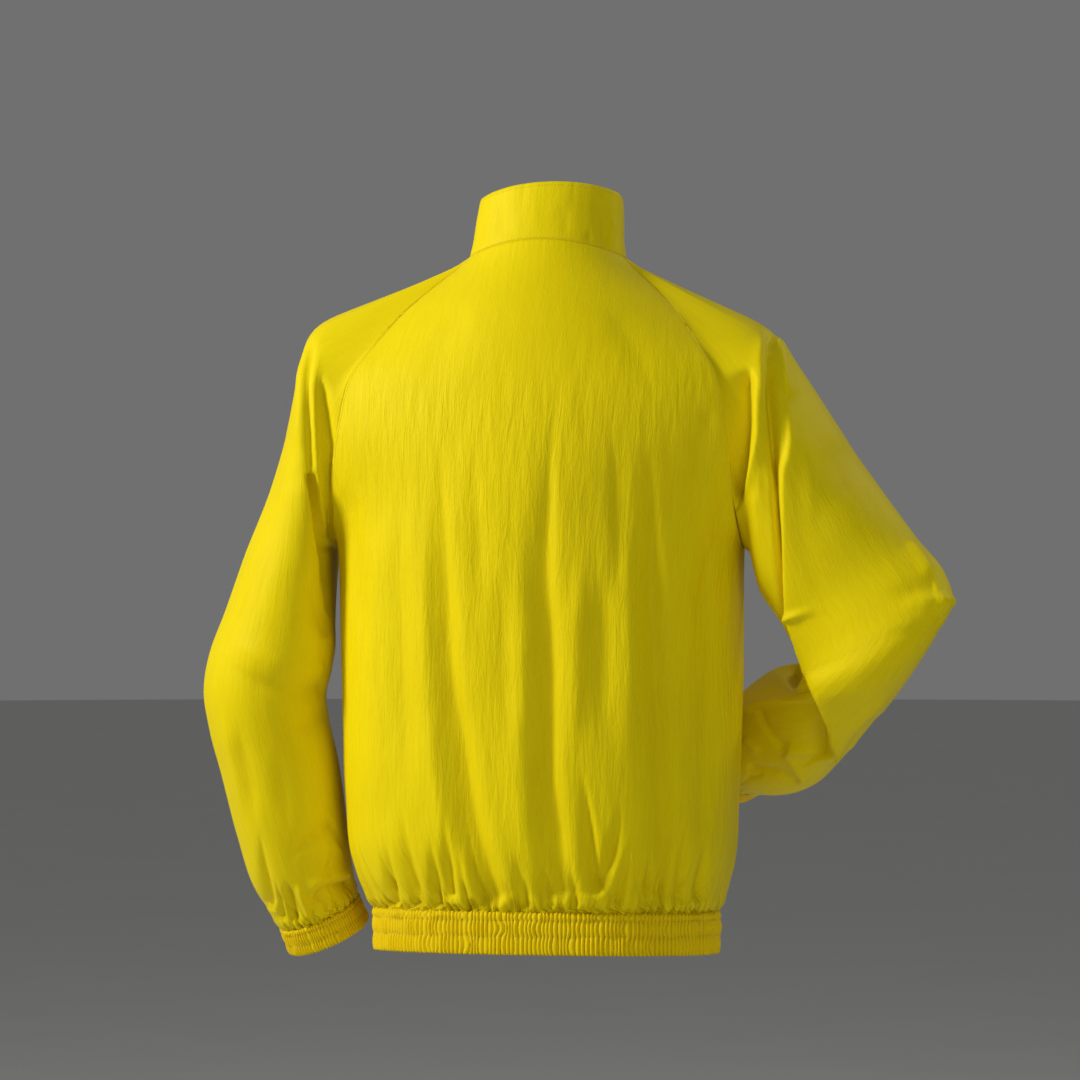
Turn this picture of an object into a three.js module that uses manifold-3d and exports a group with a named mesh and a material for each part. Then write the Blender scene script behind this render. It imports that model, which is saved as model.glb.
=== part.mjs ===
// Windbreaker jacket, worn shape: back, two fronts, raglan sleeves, stand collar, gathered hem band,
// gathered cuffs and a full-length front zip. Millimetres, +Z up. The wearer faces -Y, left is +X.
// Origin: centre of the neck opening, at the height where the shoulder lines meet the neck.
// Every cloth piece is an open-ended wall: an outer face, an inner face and the cut edges between.
import * as THREE from 'three';
import Module from 'manifold-3d';
import { mergeVertices } from 'three/addons/utils/BufferGeometryUtils.js';

// Cloth and seams
const WALL = 1.5;
const SEAM_GAP = 0.3;

// How finely each piece is divided
const RAGLAN_STEPS = 12;
const NECK_STEPS = 4;
const BACK_COLUMNS = 24;
const FRONT_COLUMNS = 10;
const SLEEVE_COLUMNS = 2 * RAGLAN_STEPS + NECK_STEPS;
const COLLAR_ROWS = 3;
const FINE_STEPS = 400;

// Hem band and cuffs: elastic draws the cloth into small waves round a plain inside
// The hem seam tilts with the body's depth, and the rows above it follow over the tilt's run
const HEM_TOP_Z = -660;
const HEM_HEIGHT = 40;
const HEM_TILT = 0.07;
const HEM_TILT_RUN = 100;
const HEM_WAVES = 96;
const HEM_WAVE_HEIGHT = 1.8;
const CUFF_HEIGHT = 27;
const CUFF_WAVES = 36;
const CUFF_WAVE_HEIGHT = 1.4;
const COLUMNS_PER_WAVE = 2;
const BODY_GATHER_HEIGHT = 2.6;
const BODY_GATHER_RUN = 62;

// Body rings below the underarm: half width, middle of the width, rearmost and foremost reach, squareness
const SIDE_SEAM_Y = 10;
const BODY = [
  { at: -660, half: 171, middle: 1, back: 134, front: -107, power: 2.3 },
  { at: -640, half: 181, middle: 2.5, back: 144, front: -117, power: 2.35 },
  { at: -605, half: 191, middle: 4, back: 152, front: -125, power: 2.4 },
  { at: -550, half: 195.5, middle: 5, back: 156, front: -128, power: 2.4 },
  { at: -420, half: 200, middle: 5, back: 157, front: -128, power: 2.35 },
  { at: -297, half: 202, middle: 6.5, back: 154, front: -124, power: 2.3 },
];
const NECK_POWER = 2.05;
// Heights of the body's rows, hem seam to underarm
const LOW_ROWS = [-660, -650, -634, -610, -575, -525, -465, -405, -348, -297];
// Sideways shift of the body's middle line above the underarm
const MIDDLE_LINE = [
  { at: -297, x: 6.5 },
  { at: -170, x: 4.5 },
  { at: -60, x: 1.5 },
  { at: 10, x: -1 },
  { at: 62, x: -4 },
];

// Raglan seams, underarm to neck, given for the left side: `flat` turns a row from round to flat
const RAGLAN_BACK = [
  { x: 202, y: 10, z: -297, flat: 0 },
  { x: 202, y: 50, z: -284, flat: 0.45 },
  { x: 199, y: 80, z: -254, flat: 0.9 },
  { x: 196, y: 95, z: -214, flat: 1 },
  { x: 190, y: 99, z: -172, flat: 1 },
  { x: 180, y: 93, z: -128, flat: 1 },
  { x: 156, y: 76, z: -92, flat: 1 },
  { x: 133, y: 56, z: -62, flat: 0.95 },
  { x: 104, y: 35, z: -34, flat: 0.7 },
  { x: 74, y: 20, z: -10, flat: 0.2 },
];
const RAGLAN_FRONT = [
  { x: 202, y: 10, z: -297, flat: 0 },
  { x: 203, y: -30, z: -285, flat: 0.45 },
  { x: 201, y: -58, z: -256, flat: 0.9 },
  { x: 196, y: -75, z: -220, flat: 1 },
  { x: 186, y: -81, z: -180, flat: 1 },
  { x: 168, y: -80, z: -140, flat: 1 },
  { x: 140, y: -73, z: -102, flat: 1 },
  { x: 112, y: -63, z: -72, flat: 0.95 },
  { x: 84, y: -53, z: -45, flat: 0.7 },
  { x: 60, y: -44, z: -24, flat: 0.2 },
];
// Middle line of the back and of the front above the underarm, by share of the raglan seam
const BACK_MIDDLE = [
  { at: 0, y: 154, z: -297 },
  { at: 0.25, y: 151, z: -226 },
  { at: 0.5, y: 138, z: -148 },
  { at: 0.75, y: 110, z: -68 },
  { at: 0.9, y: 82, z: -24 },
  { at: 1, y: 62, z: 5 },
];
const FRONT_MIDDLE = [
  { at: 0, y: -124, z: -297 },
  { at: 0.35, y: -119, z: -205 },
  { at: 0.7, y: -103, z: -115 },
  { at: 1, y: -76, z: -42 },
];
// Over-shoulder end of each sleeve at the neck seam, left side, from the back seam to the front seam
const NECK_SIDE = [
  { at: 0, x: 74, y: 20, z: -10 },
  { at: 0.5, x: 73, y: -13, z: -12 },
  { at: 1, x: 60, y: -44, z: -24 },
];
// Height of the collar's top edge, by the depth of the neck seam below it, its forward lean, and how
// much it dips for each unit of width towards the wearer's left
const COLLAR_TOP = [
  { at: -76, z: 17, lean: -4, dip: 0 },
  { at: -45, z: 32, lean: -6, dip: 0 },
  { at: -13, z: 43, lean: -8, dip: 0.035 },
  { at: 20, z: 49.5, lean: -9, dip: 0.035 },
  { at: 45, z: 57, lean: -9, dip: 0.035 },
  { at: 62, z: 63.5, lean: -9, dip: 0.035 },
];
const COLLAR_TOP_WIDTH = 0.96;
const COLLAR_BULGE = 2;

// Sleeve rings: `top` lies on the over-arm line and `foot` on the underarm line, `back` is the way and
// the length from the ring's middle to its rear, `front` the length to its front, `steps` the rows up to
// this ring from the one above and `square` the ring's squareness
const LEFT_RINGS = [
  { top: [241, 12, -75], foot: [216, 13, -302], back: [0, 88, 0], front: 84, steps: 3, square: 2.2 },
  { top: [244, 14, -114], foot: [217, 18, -316], back: [0, 84, 0], front: 80, steps: 1, square: 2.2 },
  { top: [254, 18, -164], foot: [216, 22, -331], back: [0, 80, 0], front: 76, steps: 1, square: 2.2 },
  { top: [276, 24, -235], foot: [214, 26, -350], back: [-3, 78, 0], front: 74, steps: 2, square: 2.1 },
  { top: [301, 30, -300], foot: [213, 29, -374], back: [-5, 75, 0], front: 72, steps: 2, square: 2.1 },
  { top: [322, 36, -360], foot: [212, 30, -398], back: [-8, 72, 0], front: 70, steps: 1, square: 2 },
  { top: [338, 42, -405], foot: [216, 28, -421], back: [-10, 69, 0], front: 68, steps: 1, square: 2 },
  { top: [343, 44, -443], foot: [222, 25, -446], back: [-10, 67, 0], front: 66, steps: 1, square: 2 },
  { top: [338, 42, -478], foot: [220, 21, -468], back: [-9, 65, 0], front: 64, steps: 1, square: 2 },
  { top: [327, 32, -527], foot: [212, 13, -511], back: [-9, 62, -3], front: 62, steps: 1, square: 2.1 },
  { top: [315, 16, -587], foot: [207, 1, -565], back: [-8, 57, -7], front: 57, steps: 2, square: 2.1 },
  { top: [300, 0, -642], foot: [203, -13, -620], back: [-7, 49, -9], front: 50, steps: 2, square: 2.1 },
  { top: [277, -14, -683], foot: [200, -24, -651], back: [-6, 39, -9], front: 40, steps: 2, square: 2 },
];
const RIGHT_RINGS = [
  { top: [-224, 12, -80], foot: [-204, 13, -303], back: [0, 88, 0], front: 84, steps: 3, square: 2.2 },
  { top: [-255, 18, -125], foot: [-210, 18, -321], back: [6, 82, 0], front: 78, steps: 2, square: 2.2 },
  { top: [-292, 26, -182], foot: [-218, 26, -344], back: [11, 75, 0], front: 72, steps: 2, square: 2.1 },
  { top: [-331, 38, -240], foot: [-238, 31, -370], back: [15, 68, -4], front: 66, steps: 2, square: 2.1 },
  { top: [-366, 52, -288], foot: [-252, 31, -394], back: [19, 60, -7], front: 57, steps: 1, square: 2 },
  { top: [-393, 70, -322], foot: [-260, 24, -410], back: [24, 57, -10], front: 52, steps: 1, square: 2 },
  { top: [-401, 86, -352], foot: [-263, 12, -420], back: [30, 54, -14], front: 48, steps: 1, square: 2 },
  { top: [-384, 92, -385], foot: [-262, -4, -424], back: [35, 50, -17], front: 46, steps: 1, square: 2 },
  { top: [-363, 83, -417], foot: [-259, -22, -424], back: [38, 44, -18], front: 46, steps: 1, square: 2 },
  { top: [-338, 56, -450], foot: [-252, -40, -420], back: [37, 37, -15], front: 46, steps: 1, square: 2 },
  { top: [-306, 16, -486], foot: [-242, -60, -415], back: [34, 32, -10], front: 46, steps: 1, square: 2 },
  { top: [-277, -24, -516], foot: [-222, -84, -420], back: [32, 28, -4], front: 46, steps: 1, square: 2 },
  { top: [-256, -66, -538], foot: [-188, -105, -444], back: [28, 29, -8], front: 44, steps: 1, square: 2 },
  { top: [-230, -104, -547], foot: [-162, -121, -470], back: [23, 29, -14], front: 40, steps: 1, square: 2 },
  { top: [-203, -133, -544], foot: [-151, -127, -484], back: [20, 22, -20], front: 37, steps: 1, square: 2 },
];

// Creases: soft troughs (negative) and ridges (positive), as straight runs with a width and a height
const BACK_FOLDS = [
  { fromX: 78, fromZ: -270, toX: 55, toZ: -495, width: 24, rise: -7 },
  { fromX: 55, fromZ: -495, toX: 31, toZ: -650, width: 18, rise: -8 },
  { fromX: -25, fromZ: -190, toX: -24, toZ: -640, width: 24, rise: -6 },
  { fromX: -126, fromZ: -270, toX: -141, toZ: -640, width: 20, rise: -7 },
  { fromX: 128, fromZ: -330, toX: 118, toZ: -640, width: 20, rise: -5 },
  { fromX: 16, fromZ: -280, toX: 8, toZ: -600, width: 20, rise: 3 },
  { fromX: -78, fromZ: -240, toX: -88, toZ: -620, width: 26, rise: 4 },
];
const FRONT_FOLDS = [
  { fromX: 150, fromZ: -250, toX: 132, toZ: -640, width: 20, rise: -6 },
  { fromX: 100, fromZ: -310, toX: 92, toZ: -640, width: 20, rise: -5 },
  { fromX: 60, fromZ: -260, toX: 58, toZ: -560, width: 16, rise: -3 },
];
// Creases on a sleeve run by angle from the over-arm line towards the back, and by ring
// A ring counts as this much length, and a degree of angle as this much
const RING_LENGTH = 42;
const ANGLE_LENGTH = 1.25;
const LEFT_FOLDS = [
  { fromAngle: 20, fromRing: 1.2, toAngle: 58, toRing: 2.2, width: 16, rise: -5 },
  { fromAngle: 58, fromRing: 2.2, toAngle: 105, toRing: 4, width: 15, rise: -7 },
  { fromAngle: 105, fromRing: 4, toAngle: 132, toRing: 5.4, width: 15, rise: -7 },
  { fromAngle: 80, fromRing: 7.4, toAngle: 150, toRing: 8.6, width: 14, rise: -4 },
  { fromAngle: 60, fromRing: 11.2, toAngle: 90, toRing: 12.6, width: 10, rise: -4 },
  { fromAngle: 120, fromRing: 10.6, toAngle: 140, toRing: 12.4, width: 10, rise: -4 },
];
const RIGHT_FOLDS = [
  { fromAngle: 24, fromRing: 1, toAngle: 107, toRing: 2, width: 12, rise: -9 },
  { fromAngle: 107, fromRing: 2, toAngle: 165, toRing: 3.7, width: 13, rise: -10 },
  { fromAngle: 70, fromRing: 0.6, toAngle: 118, toRing: 0.8, width: 12, rise: -7 },
  { fromAngle: 60, fromRing: 3, toAngle: 120, toRing: 6, width: 22, rise: -4 },
  { fromAngle: 158, fromRing: 6.6, toAngle: 70, toRing: 9.6, width: 17, rise: -9 },
  { fromAngle: 130, fromRing: 6.6, toAngle: 50, toRing: 8.8, width: 15, rise: 6 },
  { fromAngle: 120, fromRing: 10.4, toAngle: 60, toRing: 13, width: 12, rise: -4 },
];
const SEAM_FADE = 16;

// Front zip: two tapes with their coil behind the fronts' edges, a slider at the top, a retainer at the foot
const ZIP_OPENING = 6;
const TAPE_EDGE = 0.4;
const TAPE_REACH = 12;
const TAPE_THICKNESS = 0.9;
const TAPE_DEPTH = WALL + 0.8;
const TAPE_SHORT = 9;
const COIL_WIDTH = 2.4;
const COIL_HEIGHT = 1.2;
const SLIDER_WIDTH = 9;
const SLIDER_BELOW = 8;
const SLIDER_ABOVE = 4;
const SLIDER_PLATE = 2;
const LUG_WIDTH = 1.4;
const LUG_HEIGHT = 4.2;
const LUG_NOSE = 1.3;
const PIN_RADIUS = 0.8;
const PIN_CLEAR = 2.4;
const EYE_INNER = 1.2;
const EYE_OUTER = 2;
const EYE_WIDTH = 3;
const PULL_LENGTH = 27;
const PULL_WIDTH = 6.4;
const PULL_THICKNESS = 1.4;
const PULL_SHOULDER = 3.4;
const PULL_HOLE_RADIUS = 1.5;
const RETAINER_HEIGHT = 8;
const ROUND_SIDES = 20;

const CLOTH = { color: 0xf2d60a, roughness: 0.55, metalness: 0 };
const ELASTIC = { color: 0xebcb08, roughness: 0.65, metalness: 0 };
const TAPE = { color: 0xe2c208, roughness: 0.8, metalness: 0 };
const METAL = { color: 0xd9bd20, roughness: 0.35, metalness: 0.6 };

const point = (x, y, z) => new THREE.Vector3(x, y, z);
const jacket = new THREE.Group();

function addMesh(name, geometry, look, parent = jacket) {
  const mesh = new THREE.Mesh(geometry, new THREE.MeshStandardMaterial(look));
  mesh.name = name;
  parent.add(mesh);
  return mesh;
}

// Slope of a smooth curve at row i, from its neighbours
function slopeAt(keys, values, i) {
  const last = keys.length - 1;
  const before = Math.max(i - 1, 0);
  const after = Math.min(i + 1, last);
  if (before === i || after === i) {
    return (values[after] - values[before]) / (keys[after] - keys[before]);
  }
  const stepBefore = keys[i] - keys[before];
  const stepAfter = keys[after] - keys[i];
  const slopeBefore = (values[i] - values[before]) / stepBefore;
  const slopeAfter = (values[after] - values[i]) / stepAfter;
  return (slopeBefore * stepAfter + slopeAfter * stepBefore) / (stepBefore + stepAfter);
}

// Value at `t` on a smooth curve through the pairs of keys and values, keys rising
function smooth(keys, values, t) {
  let i = 0;
  while (i < keys.length - 2 && t > keys[i + 1]) i += 1;
  const step = keys[i + 1] - keys[i];
  const s = THREE.MathUtils.clamp((t - keys[i]) / step, 0, 1);
  const rise = s * s * (3 - 2 * s);
  const leave = s * (1 - s) * (1 - s) * step * slopeAt(keys, values, i);
  const arrive = s * s * (s - 1) * step * slopeAt(keys, values, i + 1);
  return values[i] + (values[i + 1] - values[i]) * rise + leave + arrive;
}

function column(table, name, t) {
  return smooth(table.map((row) => row.at), table.map((row) => row[name]), t);
}

// A curve's points at even spacing: `place` gives the point at a share from 0 to 1
function evenly(place, steps) {
  const fine = Array.from({ length: FINE_STEPS + 1 }, (unused, i) => place(i / FINE_STEPS));
  const length = [0];
  for (let i = 1; i < fine.length; i += 1) length.push(length[i - 1] + fine[i].distanceTo(fine[i - 1]));
  const total = length[length.length - 1];
  const points = [];
  for (let i = 0; i <= steps; i += 1) {
    const wanted = (total * i) / steps;
    let j = 0;
    while (j < fine.length - 2 && length[j + 1] < wanted) j += 1;
    points.push(fine[j].clone().lerp(fine[j + 1], (wanted - length[j]) / (length[j + 1] - length[j])));
  }
  return points;
}

// A raglan seam's points for one side (1 left, -1 right), underarm to neck, and each point's `flat`
function raglanSeam(table, side) {
  const keys = table.map((row, i) => i / (table.length - 1));
  const read = (name, t) => smooth(keys, table.map((row) => row[name]), t);
  const place = (t) => {
    const z = read('z', t);
    return point(column(MIDDLE_LINE, 'x', z) + side * read('x', t), read('y', t), z);
  };
  const points = evenly(place, RAGLAN_STEPS);
  points.forEach((p, i) => {
    p.flat = read('flat', i / RAGLAN_STEPS);
  });
  return points;
}

// Half width of the pair of ends of one body row, its middle and its shape
// `facing` is 1 on the back and -1 on the fronts
function bodyRows(facing) {
  const rows = LOW_ROWS.map((z) => {
    const middleY = column(BODY, facing > 0 ? 'back' : 'front', z);
    const side = (hand) => point(
      column(BODY, 'middle', z) + hand * column(BODY, 'half', z), SIDE_SEAM_Y, z);
    return {
      left: side(1),
      right: side(-1),
      middle: point(column(BODY, 'middle', z), middleY, z),
      power: column(BODY, 'power', z),
      flat: 0,
    };
  });
  rows.pop();
  const table = facing > 0 ? RAGLAN_BACK : RAGLAN_FRONT;
  const middle = facing > 0 ? BACK_MIDDLE : FRONT_MIDDLE;
  const left = raglanSeam(table, 1);
  const right = raglanSeam(table, -1);
  for (let i = 0; i <= RAGLAN_STEPS; i += 1) {
    const share = i / RAGLAN_STEPS;
    const z = column(middle, 'z', share);
    rows.push({
      left: left[i],
      right: right[i],
      middle: point(column(MIDDLE_LINE, 'x', z), column(middle, 'y', share), z),
      power: THREE.MathUtils.lerp(BODY.at(-1).power, NECK_POWER, share),
      flat: left[i].flat,
    });
  }
  return rows;
}

// Point of a body row: `share` runs from the middle line (0) to the side (1), starting at `startX` off it
function bodyPoint(row, side, share, startX) {
  const end = side > 0 ? row.left : row.right;
  const sine = Math.sin((share * Math.PI) / 2);
  const cosine = Math.cos((share * Math.PI) / 2);
  const across = THREE.MathUtils.lerp(sine ** (2 / row.power), sine, row.flat);
  const round = Math.max(cosine, 0) ** (2 / row.power);
  const depth = THREE.MathUtils.lerp(round, cosine * cosine, row.flat);
  const start = row.middle.x + side * startX;
  const z = THREE.MathUtils.lerp(end.z, row.middle.z, 1 - across * across);
  const y = THREE.MathUtils.lerp(end.y, row.middle.y, depth);
  return point(THREE.MathUtils.lerp(start, end.x, across), y, z);
}

// Height of the creases at a place: distance from each run's line, fading past its ends
function creaseHeight(folds, x, y, read) {
  let height = 0;
  for (const fold of folds) {
    const [ax, ay, bx, by] = read(fold);
    const lengthSquared = (bx - ax) ** 2 + (by - ay) ** 2;
    const along = ((x - ax) * (bx - ax) + (y - ay) * (by - ay)) / lengthSquared;
    const held = THREE.MathUtils.clamp(along, 0, 1);
    const off = Math.hypot(x - ax - held * (bx - ax), y - ay - held * (by - ay));
    height += fold.rise * Math.exp(-((off / fold.width) ** 2));
  }
  return height;
}

// Share of a crease's height that is left this near a seam
const seamFade = (distance) => THREE.MathUtils.smoothstep(distance, 0, SEAM_FADE);

// Outward direction of each point of a grid of rows; `closed` joins the last column to the first
function gridNormals(grid, closed) {
  const columns = grid[0].length;
  return grid.map((row, r) => row.map((p, c) => {
    const up = grid[Math.min(r + 1, grid.length - 1)][c].clone();
    up.sub(grid[Math.max(r - 1, 0)][c]);
    const next = closed ? row[(c + 1) % columns] : row[Math.min(c + 1, columns - 1)];
    const previous = closed ? row[(c + columns - 1) % columns] : row[Math.max(c - 1, 0)];
    return next.clone().sub(previous).cross(up).normalize();
  }));
}

// Raise a grid by a height at each inner point, along its own outward direction
function raise(grid, closed, height) {
  const normals = gridNormals(grid, closed);
  return grid.map((row, r) => row.map((p, c) => p.clone().addScaledVector(normals[r][c], height(p, r, c))));
}

// Back and fronts as grids: rows from the hem to the neck, columns such that cross products point out
function backGrid() {
  const rows = bodyRows(1);
  const grid = rows.map((row) => {
    const line = [];
    for (let c = 0; c <= BACK_COLUMNS; c += 1) {
      const share = (2 * c) / BACK_COLUMNS - 1;
      line.push(bodyPoint(row, share < 0 ? 1 : -1, Math.abs(share), 0));
    }
    return line;
  });
  return levelHem(creasedBody(grid, BACK_FOLDS, (fold) => [fold.fromX, fold.fromZ, fold.toX, fold.toZ]));
}

function frontGrid(side) {
  const rows = bodyRows(-1);
  const grid = rows.map((row) => {
    const line = [];
    for (let c = 0; c <= FRONT_COLUMNS; c += 1) {
      const share = side > 0 ? c / FRONT_COLUMNS : 1 - c / FRONT_COLUMNS;
      line.push(bodyPoint(row, side, share, ZIP_OPENING));
    }
    return line;
  });
  return levelHem(creasedBody(grid, FRONT_FOLDS, (fold) => [
    side * fold.fromX, fold.fromZ, side * fold.toX, fold.toZ]));
}

// The hem seam lies in one plane, a little lower at the front; the rows above it follow less and less
function levelHem(grid) {
  grid.forEach((row, r) => row.forEach((p) => {
    const held = 1 - THREE.MathUtils.smoothstep(p.z - HEM_TOP_Z, 0, HEM_TILT_RUN);
    p.z = r === 0 ? HEM_TOP_Z + HEM_TILT * p.y : p.z + HEM_TILT * p.y * held;
  }));
  return grid;
}

// Creases over the panel and the gathers above the hem seam, flat at the seams that other panels share
function creasedBody(grid, folds, read) {
  const lastRow = grid.length - 1;
  const lastColumn = grid[0].length - 1;
  return raise(grid, false, (p, r, c) => {
    const toSide = Math.min(p.distanceTo(grid[r][0]), p.distanceTo(grid[r][lastColumn]));
    const toNeck = p.distanceTo(grid[lastRow][c]);
    const fade = seamFade(toSide) * seamFade(toNeck);
    const gather = BODY_GATHER_HEIGHT * (c % 2 === 0 ? -1 : 1)
      * (1 - THREE.MathUtils.smoothstep(p.z - HEM_TOP_Z, 0, BODY_GATHER_RUN));
    return fade * (creaseHeight(folds, p.x, p.z, read) + gather);
  });
}

// One sleeve ring: columns start at the underarm, rise over the back, cross the top, fall down the front
function ringPoints(ring) {
  const top = point(...ring.top);
  const foot = point(...ring.foot);
  const centre = top.clone().lerp(foot, 0.5);
  const up = top.clone().sub(centre);
  const back = point(...ring.back);
  const front = back.clone().setLength(ring.front);
  const points = [];
  for (let c = 0; c < SLEEVE_COLUMNS; c += 1) {
    const angle = Math.PI - (2 * Math.PI * c) / SLEEVE_COLUMNS;
    const cosine = Math.cos(angle);
    const sine = Math.sin(angle);
    const rise = Math.sign(cosine) * Math.abs(cosine) ** (2 / ring.square);
    const out = Math.sign(sine) * Math.abs(sine) ** (2 / ring.square);
    points.push(centre.clone().addScaledVector(up, rise).addScaledVector(out > 0 ? back : front, out));
  }
  return points;
}

// The sleeve's seam to the body and collar, in the same column order as a ring
function armhole(side) {
  const back = raglanSeam(RAGLAN_BACK, side);
  const front = raglanSeam(RAGLAN_FRONT, side);
  const points = back.slice(0, RAGLAN_STEPS);
  points.push(...neckSide(side).slice(0, NECK_STEPS));
  for (let i = RAGLAN_STEPS; i > 0; i -= 1) points.push(front[i]);
  return points;
}

function neckSide(side) {
  return evenly((t) => {
    const z = column(NECK_SIDE, 'z', t);
    return point(column(MIDDLE_LINE, 'x', z) + side * column(NECK_SIDE, 'x', t), column(NECK_SIDE, 'y', t), z);
  }, NECK_STEPS);
}

// A sleeve's grid: rows from the armhole to the cuff seam
function sleeveGrid(rings, folds, side) {
  const lines = [armhole(side), ...rings.map(ringPoints)];
  const keys = [0];
  for (let i = 1; i < lines.length; i += 1) {
    const gaps = lines[i].map((p, c) => p.distanceTo(lines[i - 1][c]));
    keys.push(keys[i - 1] + gaps.reduce((sum, gap) => sum + gap, 0) / gaps.length);
  }
  const places = [{ key: 0, ring: 0 }];
  rings.forEach((ring, i) => {
    for (let s = 1; s <= ring.steps; s += 1) {
      const share = s / ring.steps;
      places.push({ key: THREE.MathUtils.lerp(keys[i], keys[i + 1], share), ring: i + share });
    }
  });
  const grid = places.map(({ key, ring }) => lines[0].map((p, c) => {
    if (ring < 1) return p.clone().lerp(lines[1][c], ring);
    const read = (axis) => smooth(keys.slice(1), lines.slice(1).map((line) => line[c][axis]), key);
    return point(read('x'), read('y'), read('z'));
  }));
  const read = (fold) => [
    fold.fromAngle * ANGLE_LENGTH, fold.fromRing * RING_LENGTH,
    fold.toAngle * ANGLE_LENGTH, fold.toRing * RING_LENGTH];
  const ordered = side > 0 ? grid.map((row) => mirrored(row)) : grid;
  const raised = raise(ordered, true, (p, r, c) => {
    const order = side > 0 ? (SLEEVE_COLUMNS - c) % SLEEVE_COLUMNS : c;
    const angle = 180 - (360 * order) / SLEEVE_COLUMNS;
    const fade = seamFade(p.distanceTo(ordered[0][c])) * seamFade(p.distanceTo(ordered.at(-1)[c]));
    return -fade * creaseHeight(folds, angle * ANGLE_LENGTH, places[r].ring * RING_LENGTH, read);
  });
  return raised.reverse();
}

// The same closed row walked the other way round, from the same first point
const mirrored = (row) => [row[0], ...row.slice(1).reverse()];

// The neck seam from the left front edge round the back to the right front edge
function neckSeam(leftFront, back, rightFront) {
  const left = leftFront.at(-1);
  const points = left.slice(0, FRONT_COLUMNS);
  points.push(...neckSide(1).reverse().slice(0, NECK_STEPS));
  points.push(...back.at(-1).slice(0, BACK_COLUMNS));
  points.push(...neckSide(-1).slice(0, NECK_STEPS));
  points.push(...rightFront.at(-1));
  return points;
}

function collarGrid(seam) {
  const top = seam.map((p) => {
    const middle = column(MIDDLE_LINE, 'x', p.z);
    const z = column(COLLAR_TOP, 'z', p.y) - column(COLLAR_TOP, 'dip', p.y) * (p.x - middle);
    const x = column(MIDDLE_LINE, 'x', z) + (p.x - middle) * COLLAR_TOP_WIDTH;
    return point(x, p.y + column(COLLAR_TOP, 'lean', p.y), z);
  });
  const grid = [];
  for (let r = 0; r <= COLLAR_ROWS; r += 1) {
    grid.push(seam.map((p, c) => p.clone().lerp(top[c], r / COLLAR_ROWS)));
  }
  return raise(grid, false, (p, r) => COLLAR_BULGE * Math.sin((Math.PI * r) / COLLAR_ROWS));
}

// Where seams meet, all pieces share one outward direction, summed from every face that touches the point
const sharedNormals = new Map();
const placeKey = (p) => `${p.x.toFixed(2)} ${p.y.toFixed(2)} ${p.z.toFixed(2)}`;

function addToShared(grid, closed) {
  const normals = gridNormals(grid, closed);
  grid.forEach((row, r) => row.forEach((p, c) => {
    const key = placeKey(p);
    if (!sharedNormals.has(key)) sharedNormals.set(key, point(0, 0, 0));
    sharedNormals.get(key).add(normals[r][c]);
  }));
}

// The wall of a cloth piece: its edges drawn back by half the seam gap, and its inner face
// `level` names the rows, first or last, whose cut edge stays in one plane with the given direction
function wall(grid, closed, level) {
  const rows = grid.length;
  const columns = grid[0].length;
  const normals = grid.map((row) => row.map((p) => sharedNormals.get(placeKey(p)).clone().normalize()));
  for (const { row, direction } of level) {
    for (const normal of normals.at(row)) {
      normal.addScaledVector(direction, -normal.dot(direction)).normalize();
    }
  }
  const levelRows = level.map(({ row }) => (row + rows) % rows);
  const outer = grid.map((row, r) => row.map((p, c) => {
    const moved = p.clone();
    const normal = normals[r][c];
    const next = closed ? row[(c + 1) % columns] : row[Math.min(c + 1, columns - 1)];
    const previous = closed ? row[(c + columns - 1) % columns] : row[Math.max(c - 1, 0)];
    const along = next.clone().sub(previous);
    if ((r === 0 || r === rows - 1) && !levelRows.includes(r)) {
      const inward = normal.clone().cross(along).normalize();
      moved.addScaledVector(inward, (r === 0 ? 1 : -1) * (SEAM_GAP / 2));
    }
    if (!closed && (c === 0 || c === columns - 1)) {
      const up = grid[Math.min(r + 1, rows - 1)][c].clone().sub(grid[Math.max(r - 1, 0)][c]);
      const inward = up.cross(normal).normalize();
      moved.addScaledVector(inward, (c === 0 ? 1 : -1) * (SEAM_GAP / 2));
    }
    return moved;
  }));
  const inner = outer.map((row, r) => row.map((p, c) => p.clone().addScaledVector(normals[r][c], -WALL)));
  return shell(outer, inner, closed);
}

// Closed body between an outer and an inner grid, which may be divided differently
function shell(outer, inner, closed) {
  const positions = [];
  const faces = [];
  const number = (grid) => grid.map((row) => row.map((p) => {
    positions.push(p.x, p.y, p.z);
    return positions.length / 3 - 1;
  }));
  const outerIds = number(outer);
  const innerIds = number(inner);
  const surface = (ids, flip) => {
    const columns = ids[0].length;
    for (let r = 0; r < ids.length - 1; r += 1) {
      for (let c = 0; c < (closed ? columns : columns - 1); c += 1) {
        const d = (c + 1) % columns;
        const [a, b, e, f] = [ids[r][c], ids[r][d], ids[r + 1][d], ids[r + 1][c]];
        if (flip) faces.push([a, e, b], [a, f, e]);
        else faces.push([a, b, e], [a, e, f]);
      }
    }
  };
  surface(outerIds, false);
  surface(innerIds, true);
  const ring = (row) => (closed ? [...row, row[0]] : row);
  bridge(faces, positions, ring(innerIds[0]), ring(outerIds[0]));
  bridge(faces, positions, ring(outerIds.at(-1)), ring(innerIds.at(-1)));
  if (!closed) {
    const edge = (ids, c) => ids.map((row) => row.at(c));
    bridge(faces, positions, edge(outerIds, 0), edge(innerIds, 0));
    bridge(faces, positions, edge(innerIds, -1), edge(outerIds, -1));
  }
  const geometry = new THREE.BufferGeometry();
  geometry.setAttribute('position', new THREE.Float32BufferAttribute(positions, 3));
  geometry.setIndex(faces.flat());
  geometry.computeVertexNormals();
  return geometry;
}

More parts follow.
